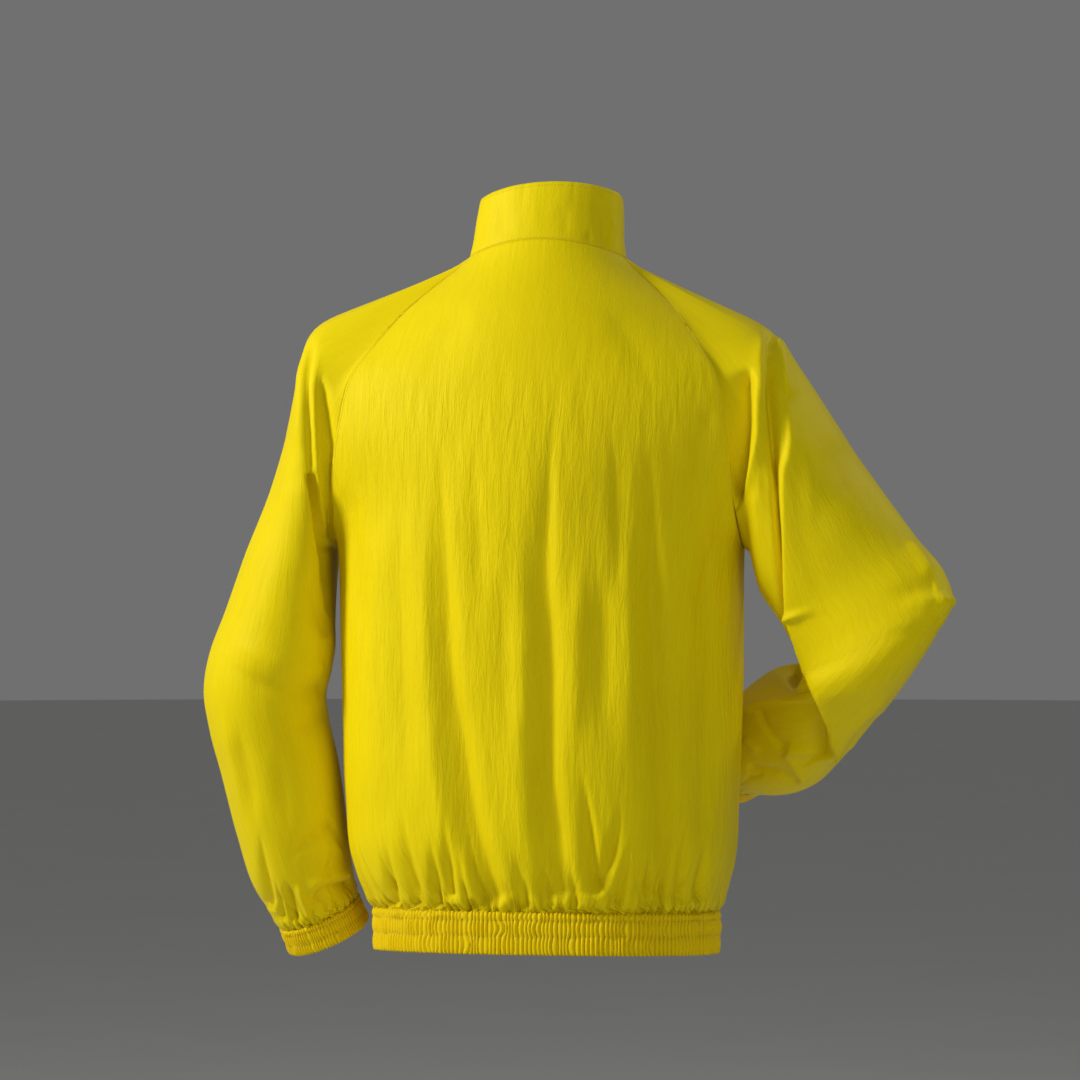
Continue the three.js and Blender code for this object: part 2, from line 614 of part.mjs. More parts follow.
// Faces between two lines of points that run side by side and may have different counts
// Equal lines use each quad's shorter diagonal, so that the two cut edges of a seam match
function bridge(faces, positions, one, other) {
  const span = (a, b) => Math.hypot(
    positions[3 * a] - positions[3 * b],
    positions[3 * a + 1] - positions[3 * b + 1],
    positions[3 * a + 2] - positions[3 * b + 2]);
  if (one.length === other.length) {
    for (let k = 0; k < one.length - 1; k += 1) {
      const [a, b, c, d] = [one[k], one[k + 1], other[k + 1], other[k]];
      if (span(a, c) < span(b, d)) faces.push([a, b, c], [a, c, d]);
      else faces.push([a, b, d], [b, c, d]);
    }
    return;
  }
  let i = 0;
  let j = 0;
  while (i < one.length - 1 || j < other.length - 1) {
    const nextOne = (i + 0.5) / (one.length - 1);
    const nextOther = (j + 0.5) / (other.length - 1);
    if (j === other.length - 1 || (i < one.length - 1 && nextOne <= nextOther)) {
      faces.push([one[i], one[i + 1], other[j]]);
      i += 1;
    } else {
      faces.push([one[i], other[j + 1], other[j]]);
      j += 1;
    }
  }
}

// Body pieces and collar
const back = backGrid();
const leftFront = frontGrid(1);
const rightFront = frontGrid(-1);
const collar = collarGrid(neckSeam(leftFront, back, rightFront));
const leftSleeve = sleeveGrid(LEFT_RINGS, LEFT_FOLDS, 1);
const rightSleeve = sleeveGrid(RIGHT_RINGS, RIGHT_FOLDS, -1);
for (const grid of [back, leftFront, rightFront, collar]) addToShared(grid, false);
for (const grid of [leftSleeve, rightSleeve]) addToShared(grid, true);

const hemUp = point(0, -HEM_TILT, 1).normalize();
const hemLevel = [{ row: 0, direction: hemUp }];
addMesh('back', wall(back, false, hemLevel), CLOTH);
addMesh('front_left', wall(leftFront, false, hemLevel), CLOTH);
addMesh('front_right', wall(rightFront, false, hemLevel), CLOTH);
addMesh('collar', wall(collar, false, []), CLOTH);

// Direction of a flat ring's axis, from its points
function ringAxis(row) {
  const quarter = row.length / 4;
  const across = row[0].clone().sub(row[2 * quarter]);
  return across.cross(row[quarter].clone().sub(row[3 * quarter])).normalize();
}

// Waves raised on the outer points of a band, and its plain inside, one column to a wave
function gatheredBand(line, closed, waveHeight, outward, down) {
  const outer = [1, 0.5, 0].map((share) => line.map((p, c) => {
    const lift = c % COLUMNS_PER_WAVE === 0 ? 0 : waveHeight;
    return p.clone().addScaledVector(down, share).addScaledVector(outward[c], lift);
  }));
  const inner = [1, 0].map((share) => {
    const row = [];
    for (let c = 0; c < line.length; c += COLUMNS_PER_WAVE) {
      row.push(line[c].clone().addScaledVector(down, share).addScaledVector(outward[c], -WALL));
    }
    return row;
  });
  return shell(outer, inner, closed);
}

for (const [name, grid] of [['left', leftSleeve], ['right', rightSleeve]]) {
  const axis = ringAxis(grid[0]);
  addMesh(`sleeve_${name}`, wall(grid, true, [{ row: 0, direction: axis }]), CLOTH);
  const rim = [...grid[0], grid[0][0]];
  const centre = rim[0].clone().lerp(rim[SLEEVE_COLUMNS / 2], 0.5);
  const down = grid[0][0].clone().sub(grid[1][0]).dot(axis) > 0 ? axis.clone() : axis.clone().negate();
  const curve = new THREE.CatmullRomCurve3(grid[0], true);
  const line = evenly((t) => curve.getPoint(t % 1), COLUMNS_PER_WAVE * CUFF_WAVES).slice(0, -1);
  line.forEach((p) => p.addScaledVector(down, SEAM_GAP));
  const outward = line.map((p) => {
    const direction = p.clone().sub(centre);
    return direction.addScaledVector(down, -direction.dot(down)).normalize();
  });
  const height = down.clone().multiplyScalar(CUFF_HEIGHT);
  addMesh(`cuff_${name}`, gatheredBand(line, true, CUFF_WAVE_HEIGHT, outward, height), ELASTIC);
}

// The hem seam from the left front edge round the back to the right front edge
function hemLine() {
  const front = bodyRows(-1)[0];
  const rear = bodyRows(1)[0];
  const place = (t) => {
    const quarter = Math.min(Math.floor(t * 4), 3);
    const share = t * 4 - quarter;
    if (quarter === 0) return bodyPoint(front, 1, share, ZIP_OPENING);
    if (quarter === 1) return bodyPoint(rear, 1, 1 - share, 0);
    if (quarter === 2) return bodyPoint(rear, -1, share, 0);
    return bodyPoint(front, -1, 1 - share, ZIP_OPENING);
  };
  const line = evenly(place, COLUMNS_PER_WAVE * HEM_WAVES);
  line.forEach((p) => {
    p.z = HEM_TOP_Z + HEM_TILT * p.y;
    p.addScaledVector(hemUp, -SEAM_GAP);
  });
  return line;
}

const hem = hemLine();
const hemOutward = hem.map((p, c) => {
  const along = hem[Math.min(c + 1, hem.length - 1)].clone().sub(hem[Math.max(c - 1, 0)]);
  return along.cross(hemUp).normalize();
});
const hemDown = hemUp.clone().multiplyScalar(-HEM_HEIGHT);
addMesh('hem_band', gatheredBand(hem, false, HEM_WAVE_HEIGHT, hemOutward, hemDown), ELASTIC);

// Places along one edge of the opening, hem to collar, each with the outward direction there
function openingEdge(side) {
  const edge = side > 0 ? 0 : -1;
  const grids = side > 0 ? leftFront : rightFront;
  const start = hem.at(edge).clone();
  const places = [
    { p: start.clone().add(hemDown), n: hemOutward.at(edge) },
    { p: start.clone().addScaledVector(hemDown, 0.5), n: hemOutward.at(edge) },
  ];
  for (const row of [...grids, ...collar.slice(1)]) {
    const p = row.at(edge);
    places.push({ p, n: sharedNormals.get(placeKey(p)) });
  }
  return places.map(({ p, n }) => ({
    p: point(p.x - side * ZIP_OPENING, p.y, p.z),
    n: point(0, n.y, n.z).normalize(),
  }));
}

// Draw one end of a line of places in by a length
function shorten(places, length) {
  while (places[0].p.distanceTo(places[1].p) < length) {
    length -= places[0].p.distanceTo(places[1].p);
    places.shift();
  }
  const share = length / places[0].p.distanceTo(places[1].p);
  places[0] = { p: places[0].p.clone().lerp(places[1].p, share), n: places[0].n };
}

// One tape: a flat strip with its coil standing along the inner edge
function zipTape(side) {
  const places = openingEdge(side);
  shorten(places, TAPE_SHORT);
  places.reverse();
  shorten(places, TAPE_SHORT);
  places.reverse();
  const section = [
    [TAPE_EDGE + COIL_WIDTH, TAPE_DEPTH],
    [TAPE_REACH, TAPE_DEPTH],
    [TAPE_REACH, TAPE_DEPTH + TAPE_THICKNESS],
    [TAPE_EDGE, TAPE_DEPTH + TAPE_THICKNESS],
    [TAPE_EDGE, TAPE_DEPTH - COIL_HEIGHT],
    [TAPE_EDGE + COIL_WIDTH, TAPE_DEPTH - COIL_HEIGHT],
  ];
  const sides = section.length;
  const positions = [];
  for (const { p, n } of places) {
    for (const [across, depth] of section) {
      const q = p.clone().addScaledVector(n, -depth);
      positions.push(q.x + side * across, q.y, q.z);
    }
  }
  const faces = [];
  const face = (a, b, c) => faces.push(side > 0 ? [a, b, c] : [a, c, b]);
  for (let r = 0; r < places.length - 1; r += 1) {
    for (let c = 0; c < sides; c += 1) {
      const a = r * sides + c;
      const b = r * sides + ((c + 1) % sides);
      face(a, b, b + sides);
      face(a, b + sides, a + sides);
    }
  }
  const top = (places.length - 1) * sides;
  for (let c = 1; c < sides - 1; c += 1) {
    face(0, c + 1, c);
    face(top, top + c, top + c + 1);
  }
  const geometry = new THREE.BufferGeometry();
  geometry.setAttribute('position', new THREE.Float32BufferAttribute(positions, 3));
  geometry.setIndex(faces.flat());
  geometry.computeVertexNormals();
  return { geometry, foot: places[0], head: places.at(-1), below: places.at(-2) };
}

const leftTape = zipTape(1);
const rightTape = zipTape(-1);
addMesh('zip_tape_left', leftTape.geometry, TAPE);
addMesh('zip_tape_right', rightTape.geometry, TAPE);

// Joining hard pieces of the zip into one solid
const wasm = await Module();
wasm.setup();

function solid(geometry) {
  const bare = geometry.index ? geometry.toNonIndexed() : geometry.clone();
  for (const name of Object.keys(bare.attributes)) {
    if (name !== 'position') bare.deleteAttribute(name);
  }
  const merged = mergeVertices(bare);
  return new wasm.Manifold(new wasm.Mesh({
    numProp: 3,
    vertProperties: new Float32Array(merged.attributes.position.array),
    triVerts: new Uint32Array(merged.index.array),
  }));
}

function joined(pieces) {
  const mesh = pieces.map(solid).reduce((whole, piece) => whole.add(piece)).getMesh();
  const geometry = new THREE.BufferGeometry();
  geometry.setAttribute('position', new THREE.Float32BufferAttribute(mesh.vertProperties, 3));
  geometry.setIndex(Array.from(mesh.triVerts));
  return geometry;
}

// A shape drawn across the zip's depth (x) and height (y), given a width along X about the middle
const SIDE_ON = new THREE.Matrix4().makeBasis(point(0, 1, 0), point(0, 0, 1), point(1, 0, 0));

function sideOn(shape, width, from = -width / 2) {
  const geometry = new THREE.ExtrudeGeometry(shape, {
    depth: width, bevelEnabled: false, curveSegments: ROUND_SIDES,
  });
  return geometry.translate(0, 0, from).applyMatrix4(SIDE_ON);
}

function outline(points) {
  return new THREE.Shape(points.map(([x, y]) => new THREE.Vector2(x, y)));
}

// Slider: a front and a back plate round the tapes' ends, joined above them, with two lugs and a pin
const plateFace = -(TAPE_DEPTH - COIL_HEIGHT - SEAM_GAP - SLIDER_PLATE);
const pinDepth = -(plateFace + PIN_CLEAR);
const slotFront = -(plateFace - SLIDER_PLATE);
const slotBack = TAPE_DEPTH + TAPE_THICKNESS + SEAM_GAP;
const sliderBody = outline([
  [-plateFace, -SLIDER_BELOW],
  [slotFront, -SLIDER_BELOW],
  [slotFront, SEAM_GAP],
  [slotBack, SEAM_GAP],
  [slotBack, -SLIDER_BELOW],
  [slotBack + SLIDER_PLATE, -SLIDER_BELOW],
  [slotBack + SLIDER_PLATE, SLIDER_ABOVE],
  [-plateFace, SLIDER_ABOVE],
]);
const pinHeight = SLIDER_ABOVE - LUG_HEIGHT / 2;
const lug = outline([
  [-plateFace + SLIDER_PLATE / 2, pinHeight - LUG_HEIGHT / 2],
  [pinDepth, pinHeight - LUG_HEIGHT / 2],
  [pinDepth - LUG_NOSE, pinHeight],
  [pinDepth, pinHeight + LUG_HEIGHT / 2],
  [-plateFace + SLIDER_PLATE / 2, pinHeight + LUG_HEIGHT / 2],
]);
const pinShape = new THREE.Shape();
pinShape.absarc(pinDepth, pinHeight, PIN_RADIUS, 0, 2 * Math.PI);
const lugInside = EYE_WIDTH / 2 + SEAM_GAP;
const slider = joined([
  sideOn(sliderBody, SLIDER_WIDTH),
  sideOn(lug, LUG_WIDTH, lugInside),
  sideOn(lug, LUG_WIDTH, -lugInside - LUG_WIDTH),
  sideOn(pinShape, 2 * (lugInside + LUG_WIDTH / 2)),
]);

// Pull tab: an eye round the slider's pin and a flat tab below it
const eyeShape = new THREE.Shape();
eyeShape.absarc(pinDepth, pinHeight, EYE_OUTER, 0, 2 * Math.PI);
const eyeHole = new THREE.Path();
eyeHole.absarc(pinDepth, pinHeight, EYE_INNER, 0, 2 * Math.PI, true);
eyeShape.holes.push(eyeHole);
const halfEye = EYE_WIDTH / 2;
const halfPull = PULL_WIDTH / 2;
const tabShape = outline([
  [-halfEye, -(EYE_INNER + EYE_OUTER) / 2],
  [-halfEye, -PULL_SHOULDER],
  [-halfPull, -PULL_SHOULDER - (halfPull - halfEye)],
  [-halfPull, -PULL_LENGTH + halfPull],
]);
tabShape.absarc(0, -PULL_LENGTH + halfPull, halfPull, Math.PI, 2 * Math.PI);
tabShape.lineTo(halfPull, -PULL_SHOULDER - (halfPull - halfEye));
tabShape.lineTo(halfEye, -PULL_SHOULDER);
tabShape.lineTo(halfEye, -(EYE_INNER + EYE_OUTER) / 2);
const tabHole = new THREE.Path();
tabHole.absarc(0, -PULL_LENGTH + halfPull, PULL_HOLE_RADIUS, 0, 2 * Math.PI, true);
tabShape.holes.push(tabHole);
const tab = new THREE.ExtrudeGeometry(tabShape, {
  depth: PULL_THICKNESS, bevelEnabled: false, curveSegments: ROUND_SIDES,
});
tab.translate(0, 0, -PULL_THICKNESS / 2).rotateX(Math.PI / 2).translate(0, pinDepth, pinHeight);
const pull = joined([sideOn(eyeShape, EYE_WIDTH), tab]);

// The slider and pull lie along the collar's front edge, at the tapes' ends
const head = leftTape.head;
const rising = head.p.clone().sub(leftTape.below.p).normalize();
const zipHead = new THREE.Group();
zipHead.position.copy(head.p);
zipHead.rotation.x = Math.atan2(-rising.y, rising.z);
jacket.add(zipHead);
addMesh('zip_slider', slider, METAL, zipHead);
addMesh('zip_pull', pull, METAL, zipHead);

// Retainer box at the foot of the tapes
const retainerDepth = slotBack + SLIDER_PLATE / 2;
const retainer = new THREE.BoxGeometry(SLIDER_WIDTH, retainerDepth, RETAINER_HEIGHT);
retainer.translate(0, retainerDepth / 2, -SEAM_GAP - RETAINER_HEIGHT / 2);
addMesh('zip_retainer', retainer, METAL).position.copy(leftTape.foot.p);

export default jacket;
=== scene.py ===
"""Windbreaker jacket in the shape it has when worn: thin crinkled nylon, gathered at hem and cuffs.

Lengths are in millimetres until a mesh is made. The wearer faces -Y and their left is +X.
"""
import math

import bmesh
import bpy
import numpy as np
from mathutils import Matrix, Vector, noise


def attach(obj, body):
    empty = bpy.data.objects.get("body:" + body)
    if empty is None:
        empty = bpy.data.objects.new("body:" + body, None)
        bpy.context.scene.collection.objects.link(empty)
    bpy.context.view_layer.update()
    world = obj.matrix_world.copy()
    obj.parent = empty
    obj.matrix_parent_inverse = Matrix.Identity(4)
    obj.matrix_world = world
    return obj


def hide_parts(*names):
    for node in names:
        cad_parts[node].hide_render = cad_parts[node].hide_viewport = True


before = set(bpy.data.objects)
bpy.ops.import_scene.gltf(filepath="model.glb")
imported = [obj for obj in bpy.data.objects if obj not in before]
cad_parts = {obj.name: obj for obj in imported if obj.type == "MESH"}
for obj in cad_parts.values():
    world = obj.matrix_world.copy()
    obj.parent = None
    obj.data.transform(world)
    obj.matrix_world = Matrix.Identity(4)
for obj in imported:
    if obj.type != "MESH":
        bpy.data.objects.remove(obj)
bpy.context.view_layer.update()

MM = 0.001

# The view: level, from behind the wearer and a little to their right
VIEW_SIDE = math.radians(188.5)
VIEW_CENTRE = np.array([9.0, 1.0, -290.0])
VIEW_DISTANCE = 3800.0
VIEW_WIDTH = 1080.0
TO_CAMERA = np.array([math.sin(VIEW_SIDE), -math.cos(VIEW_SIDE), 0.0])
TO_RIGHT = np.array([math.cos(VIEW_SIDE), math.sin(VIEW_SIDE), 0.0])

# Cloth
CLOTH_THICKNESS = 0.8
DOUBLE_THICKNESS = 1.5
SEAM_FADE = 16.0
SLEEVE_CRUSH = 0.4

# Divisions: the raglan seam, the neck's end of a sleeve, half of the back, one front, and the rows
RAGLAN_STEPS = 96
NECK_STEPS = 32
BACK_COLUMNS = 240
FRONT_COLUMNS = 96
SLEEVE_COLUMNS = 2 * RAGLAN_STEPS + NECK_STEPS
LOW_ROWS = 86
LEFT_SLEEVE_ROWS = 150
RIGHT_SLEEVE_ROWS = 184
COLLAR_ROWS = 22
FINE_STEPS = 800

# Hem band and cuffs
HEM_TOP_Z = -660.0
HEM_HEIGHT = 40.0
HEM_TILT = 0.07
HEM_TILT_RUN = 100.0
HEM_RIBS = 216
HEM_RIB_DEPTH = 2.5
HEM_BAND_ROWS = 24
HEM_SEWING = (0.17, 0.55)
CUFF_HEIGHT = 27.0
CUFF_RIBS = 84
CUFF_RIB_DEPTH = 2.0
CUFF_ROWS = 18
CUFF_SEWING = (0.16, 0.58)
COLUMNS_PER_RIB = 7
BAND_LAP = 1.3

# Gathers: mean spacing, depth and reach up the cloth. Puffs above a seam: rise, height and spread
HEM_GATHERS = (7.8, 6.2, 20)
CUFF_GATHERS = (6.8, 4.8, 15)
HEM_PUFF = (2.2, 10, 9)
CUFF_PUFF = (2.0, 8, 7)
GATHER_REACH = 17.0

# Seams, folds and neck
SEAM_TURN = 1.4
SEAM_ALLOWANCE = 4.0
SEAM_EDGE = 4.0
SEAM_DIP = 0.35
FOLD_CREST = 1.6
FOLD_TIP = 0.35
SIDE_SEAM_Y = 10.0
ZIP_OPENING = 6.0
NECK_POWER = 2.05
NECK_RISE = 3.1
NECK_REACH = 13.0

# Evening out across the underarm: reach in rows, rounds, and how far from its sides a panel is held
EASE_REACH = 26
EASE_ROUNDS = 130
BACK_HOLD = 70
FRONT_HOLD = 50


def columns(names, *rows):
    """A table with named columns."""
    return {name: np.array([row[i] for row in rows], float) for i, name in enumerate(names.split())}


# Body below the underarm: half width, middle of the width, rearmost and foremost reach, squareness
BODY = columns(
    "at half middle back front power",
    (-660, 171, 1, 134, -107, 2.3),
    (-640, 181, 2.5, 144, -117, 2.35),
    (-605, 191, 4, 152, -125, 2.4),
    (-550, 195.5, 5, 156, -128, 2.4),
    (-420, 200, 5, 157, -128, 2.35),
    (-297, 202, 6.5, 154, -124, 2.3),
)
MIDDLE_LINE = columns("at x", (-297, 6.5), (-170, 4.5), (-60, 1.5), (10, -1), (62, -4))

# Raglan seams from underarm to neck, left side: `flat` turns a row from round to flat
RAGLAN_BACK = columns(
    "x y z flat",
    (202, 10, -297, 0),
    (202, 50, -284, 0.45),
    (199, 80, -254, 0.9),
    (196, 95, -214, 1),
    (190, 99, -172, 1),
    (180, 93, -128, 1),
    (156, 76, -92, 1),
    (133, 56, -62, 0.95),
    (104, 35, -34, 0.7),
    (74, 20, -10, 0.2),
)
RAGLAN_FRONT = columns(
    "x y z flat",
    (202, 10, -297, 0),
    (203, -30, -285, 0.45),
    (201, -58, -256, 0.9),
    (196, -75, -220, 1),
    (186, -81, -180, 1),
    (168, -80, -140, 1),
    (140, -73, -102, 1),
    (112, -63, -72, 0.95),
    (84, -53, -45, 0.7),
    (60, -44, -24, 0.2),
)
# Middle lines above the underarm, by share of the raglan seam
BACK_MIDDLE = columns(
    "at y z",
    (0, 154, -297),
    (0.25, 151, -226),
    (0.5, 138, -148),
    (0.75, 110, -68),
    (0.9, 82, -24),
    (1, 62, 5),
)
FRONT_MIDDLE = columns("at y z", (0, -124, -297), (0.35, -119, -205), (0.7, -103, -115), (1, -76, -42))
NECK_SIDE = columns("at x y z", (0, 74, 20, -10), (0.5, 73, -13, -12), (1, 60, -44, -24))
# The collar's top edge by the depth of the neck seam below: height, forward lean, dip to the wearer's left
COLLAR_TOP = columns(
    "at z lean dip",
    (-76, 17, -4, 0),
    (-45, 32, -6, 0),
    (-13, 43, -8, 0.035),
    (20, 49.5, -9, 0.035),
    (45, 57, -9, 0.035),
    (62, 63.5, -9, 0.035),
)
COLLAR_TOP_WIDTH = 0.96
COLLAR_BULGE = 1.2
COLLAR_FOOT_RISE = 2.6
COLLAR_ROUNDS = 70

# Sewing and the zip's coil
STITCH_PITCH = 3.2
STITCH_SIZE = (2.5, 0.5, 0.45)
STITCH_LIFT = 0.12
COIL_PITCH = 2.2
COIL_SIZE = (2.9, 1.2, 1.1)
COIL_OFFSET = 1.15
COIL_DEPTH = 1.7
SEAM_INSET = 2.4
EDGE_INSET = 3.6

# Sleeve rings: over-arm point, underarm point, way and reach to the rear, reach to the front, squareness
LEFT_RINGS = columns(
    "top foot back front square",
    ((241, 12, -75), (216, 13, -302), (0, 88, 0), 84, 2.2),
    ((244, 14, -114), (217, 18, -316), (0, 84, 0), 80, 2.2),
    ((254, 18, -164), (216, 22, -331), (0, 80, 0), 76, 2.2),
    ((276, 24, -235), (214, 26, -350), (-3, 78, 0), 74, 2.1),
    ((301, 30, -300), (213, 29, -374), (-5, 75, 0), 72, 2.1),
    ((322, 36, -360), (212, 30, -398), (-8, 72, 0), 70, 2),
    ((338, 42, -405), (216, 28, -421), (-10, 69, 0), 68, 2),
    ((343, 44, -443), (222, 25, -446), (-10, 67, 0), 66, 2),
    ((338, 42, -478), (220, 21, -468), (-9, 65, 0), 64, 2),
    ((327, 32, -527), (212, 13, -511), (-9, 62, -3), 62, 2.1),
    ((315, 16, -587), (207, 1, -565), (-8, 57, -7), 57, 2.1),
    ((300, 0, -642), (203, -13, -620), (-7, 49, -9), 50, 2.1),
    ((277, -14, -683), (200, -24, -651), (-6, 39, -9), 40, 2),
)
RIGHT_RINGS = columns(
    "top foot back front square",
    ((-224, 12, -80), (-204, 13, -303), (0, 88, 0), 84, 2.2),
    ((-255, 18, -125), (-210, 18, -321), (6, 82, 0), 78, 2.2),
    ((-292, 26, -182), (-218, 26, -344), (11, 75, 0), 72, 2.1),
    ((-331, 38, -240), (-238, 31, -370), (15, 68, -4), 66, 2.1),
    ((-366, 52, -288), (-252, 31, -394), (19, 60, -7), 57, 2),
    ((-393, 70, -322), (-260, 24, -410), (24, 57, -10), 52, 2),
    ((-401, 86, -352), (-263, 12, -420), (30, 54, -14), 48, 2),
    ((-384, 92, -385), (-262, -4, -424), (35, 50, -17), 46, 2),
    ((-363, 83, -417), (-259, -22, -424), (38, 44, -18), 46, 2),
    ((-338, 56, -450), (-252, -40, -420), (37, 37, -15), 46, 2),
    ((-306, 16, -486), (-242, -60, -415), (34, 32, -10), 46, 2),
    ((-277, -24, -516), (-222, -84, -420), (32, 28, -4), 46, 2),
    ((-256, -66, -538), (-188, -105, -444), (28, 29, -8), 44, 2),
    ((-230, -104, -547), (-162, -121, -470), (23, 29, -14), 40, 2),
    ((-203, -133, -544), (-151, -127, -484), (20, 22, -20), 37, 2),
)

# Folds, as the view shows them: `line` holds its points one after another, each as millimetres across
# and down the view, which is 1080 wide. `rise` is negative in a trough. `left` and `right` are the widths
# on either hand of a fold that is followed downwards, and `fade_in` and `fade_out` the shares of its
# length over which it comes and goes.
FOLD = "line rise left right fade_in fade_out"


def folds(*rows):
    return [dict(zip(FOLD.split(), row)) for row in rows]


BACK_FOLDS = folds(
    ((440, 420, 443, 527, 448, 663, 460, 735, 474, 824, 491, 884, 499, 908), -10, 20, 10, 0.5, 0.02),
    ((556, 380, 551, 460, 546, 572, 550, 640, 551, 722, 551, 783, 558, 840, 563, 904),
     -9, 17, 8, 0.45, 0.02),
    ((650, 430, 653, 540, 656, 640, 661, 722, 665, 803, 667, 850, 663, 905), -9, 17, 9, 0.4, 0.02),
    ((581, 760, 590, 824, 596, 875, 598, 898), -9, 10, 4, 0.7, 0.05),
    ((622, 800, 616, 840, 609, 866, 599, 893), -8, 8, 5, 0.7, 0.05),
    ((632, 838, 625, 872, 618, 905), -7, 6, 4, 0.8, 0.02),
    ((443, 800, 447, 850, 452, 902), -8, 7, 4, 0.8, 0.04),
    ((456, 828, 464, 866, 474, 902), 3.6, 5, 6, 0.7, 0.04),
    ((515, 846, 521, 880, 527, 909), -9, 8, 3.5, 0.8, 0.02),
    ((538, 850, 544, 882, 551, 909), -7, 6, 4, 0.8, 0.02),
    ((569, 856, 572, 882, 576, 907), -7, 5, 4, 0.8, 0.02),
    ((652, 846, 651, 876, 650, 906), -8, 6, 3.5, 0.8, 0.02),
    ((687, 822, 684, 864, 681, 903), -8, 7, 4, 0.8, 0.02),
    ((708, 834, 704, 870, 699, 901), -8, 7, 4, 0.8, 0.02),
    ((401, 800, 409, 862, 420, 908), -8, 9, 4.5, 0.8, 0.02),
    ((385, 830, 389, 872, 396, 908), -7.5, 7, 4, 0.8, 0.02),
    ((429, 834, 434, 872, 439, 908), -7.5, 6, 4, 0.8, 0.02),
    ((401, 480, 399, 600, 404, 740, 412, 810), -4.5, 16, 14, 0.4, 0.3),
    ((600, 560, 602, 640, 600, 740), -3.5, 14, 12, 0.4, 0.4),
    ((704, 500, 710, 640, 706, 760, 700, 860), -5, 15, 10, 0.4, 0.2),
    ((502, 560, 506, 660, 510, 760), -3, 12, 12, 0.4, 0.4),
    ((424, 520, 425, 650, 436, 780, 455, 880), 4, 12, 13, 0.4, 0.2),
    ((520, 520, 522, 650, 522, 780, 532, 880), 4.5, 16, 12, 0.4, 0.2),
    ((580, 540, 576, 680, 574, 760), 3.6, 12, 12, 0.4, 0.3),
    ((628, 520, 630, 660, 632, 780), 4.5, 15, 12, 0.4, 0.3),
    ((372, 560, 370, 700, 378, 840), 2.6, 13, 14, 0.4, 0.3),
    ((733, 480, 716, 545, 700, 610, 694, 680), -3.2, 9, 12, 0.1, 0.6),
    ((344, 480, 356, 560, 366, 640, 368, 700), -3.2, 10, 8, 0.15, 0.6),
    ((716, 402, 700, 440, 690, 500), -1.6, 10, 10, 0.2, 0.6),
    ((474, 450, 478, 540, 484, 640), -2.6, 10, 9, 0.5, 0.5),
    ((612, 410, 616, 500, 622, 600), -2.6, 9, 10, 0.5, 0.5),
    ((470, 300, 440, 350, 424, 410), -1.2, 16, 16, 0.3, 0.6),
    ((600, 300, 636, 350, 664, 420), -1.4, 15, 15, 0.3, 0.6),
)
FRONT_FOLDS = folds(
    ((404, 410, 410, 560, 418, 740, 432, 900), -6.5, 18, 14, 0.4, 0.05),
    ((462, 520, 468, 680, 476, 900), -4.5, 12, 14, 0.5, 0.05),
    ((500, 640, 504, 780, 506, 905), -3.5, 10, 9, 0.5, 0.1),
    ((372, 520, 376, 680, 392, 860), -4, 12, 12, 0.4, 0.2),
    ((438, 560, 446, 720, 452, 880), 3.2, 11, 11, 0.4, 0.3),
    ((612, 560, 606, 720, 600, 900), -4.5, 11, 13, 0.5, 0.05),
    ((652, 430, 658, 600, 650, 760, 642, 900), -6.5, 14, 18, 0.4, 0.05),
    ((694, 480, 700, 620, 688, 820), -4.5, 12, 12, 0.4, 0.2),
    ((572, 620, 568, 760, 570, 905), -3, 9, 10, 0.5, 0.1),
    ((630, 560, 628, 720, 622, 870), 3.2, 11, 11, 0.4, 0.3),
    ((360, 440, 392, 500, 410, 580), -3, 9, 10, 0.1, 0.6),
    ((716, 440, 690, 500, 676, 580), -3, 10, 9, 0.1, 0.6),
)
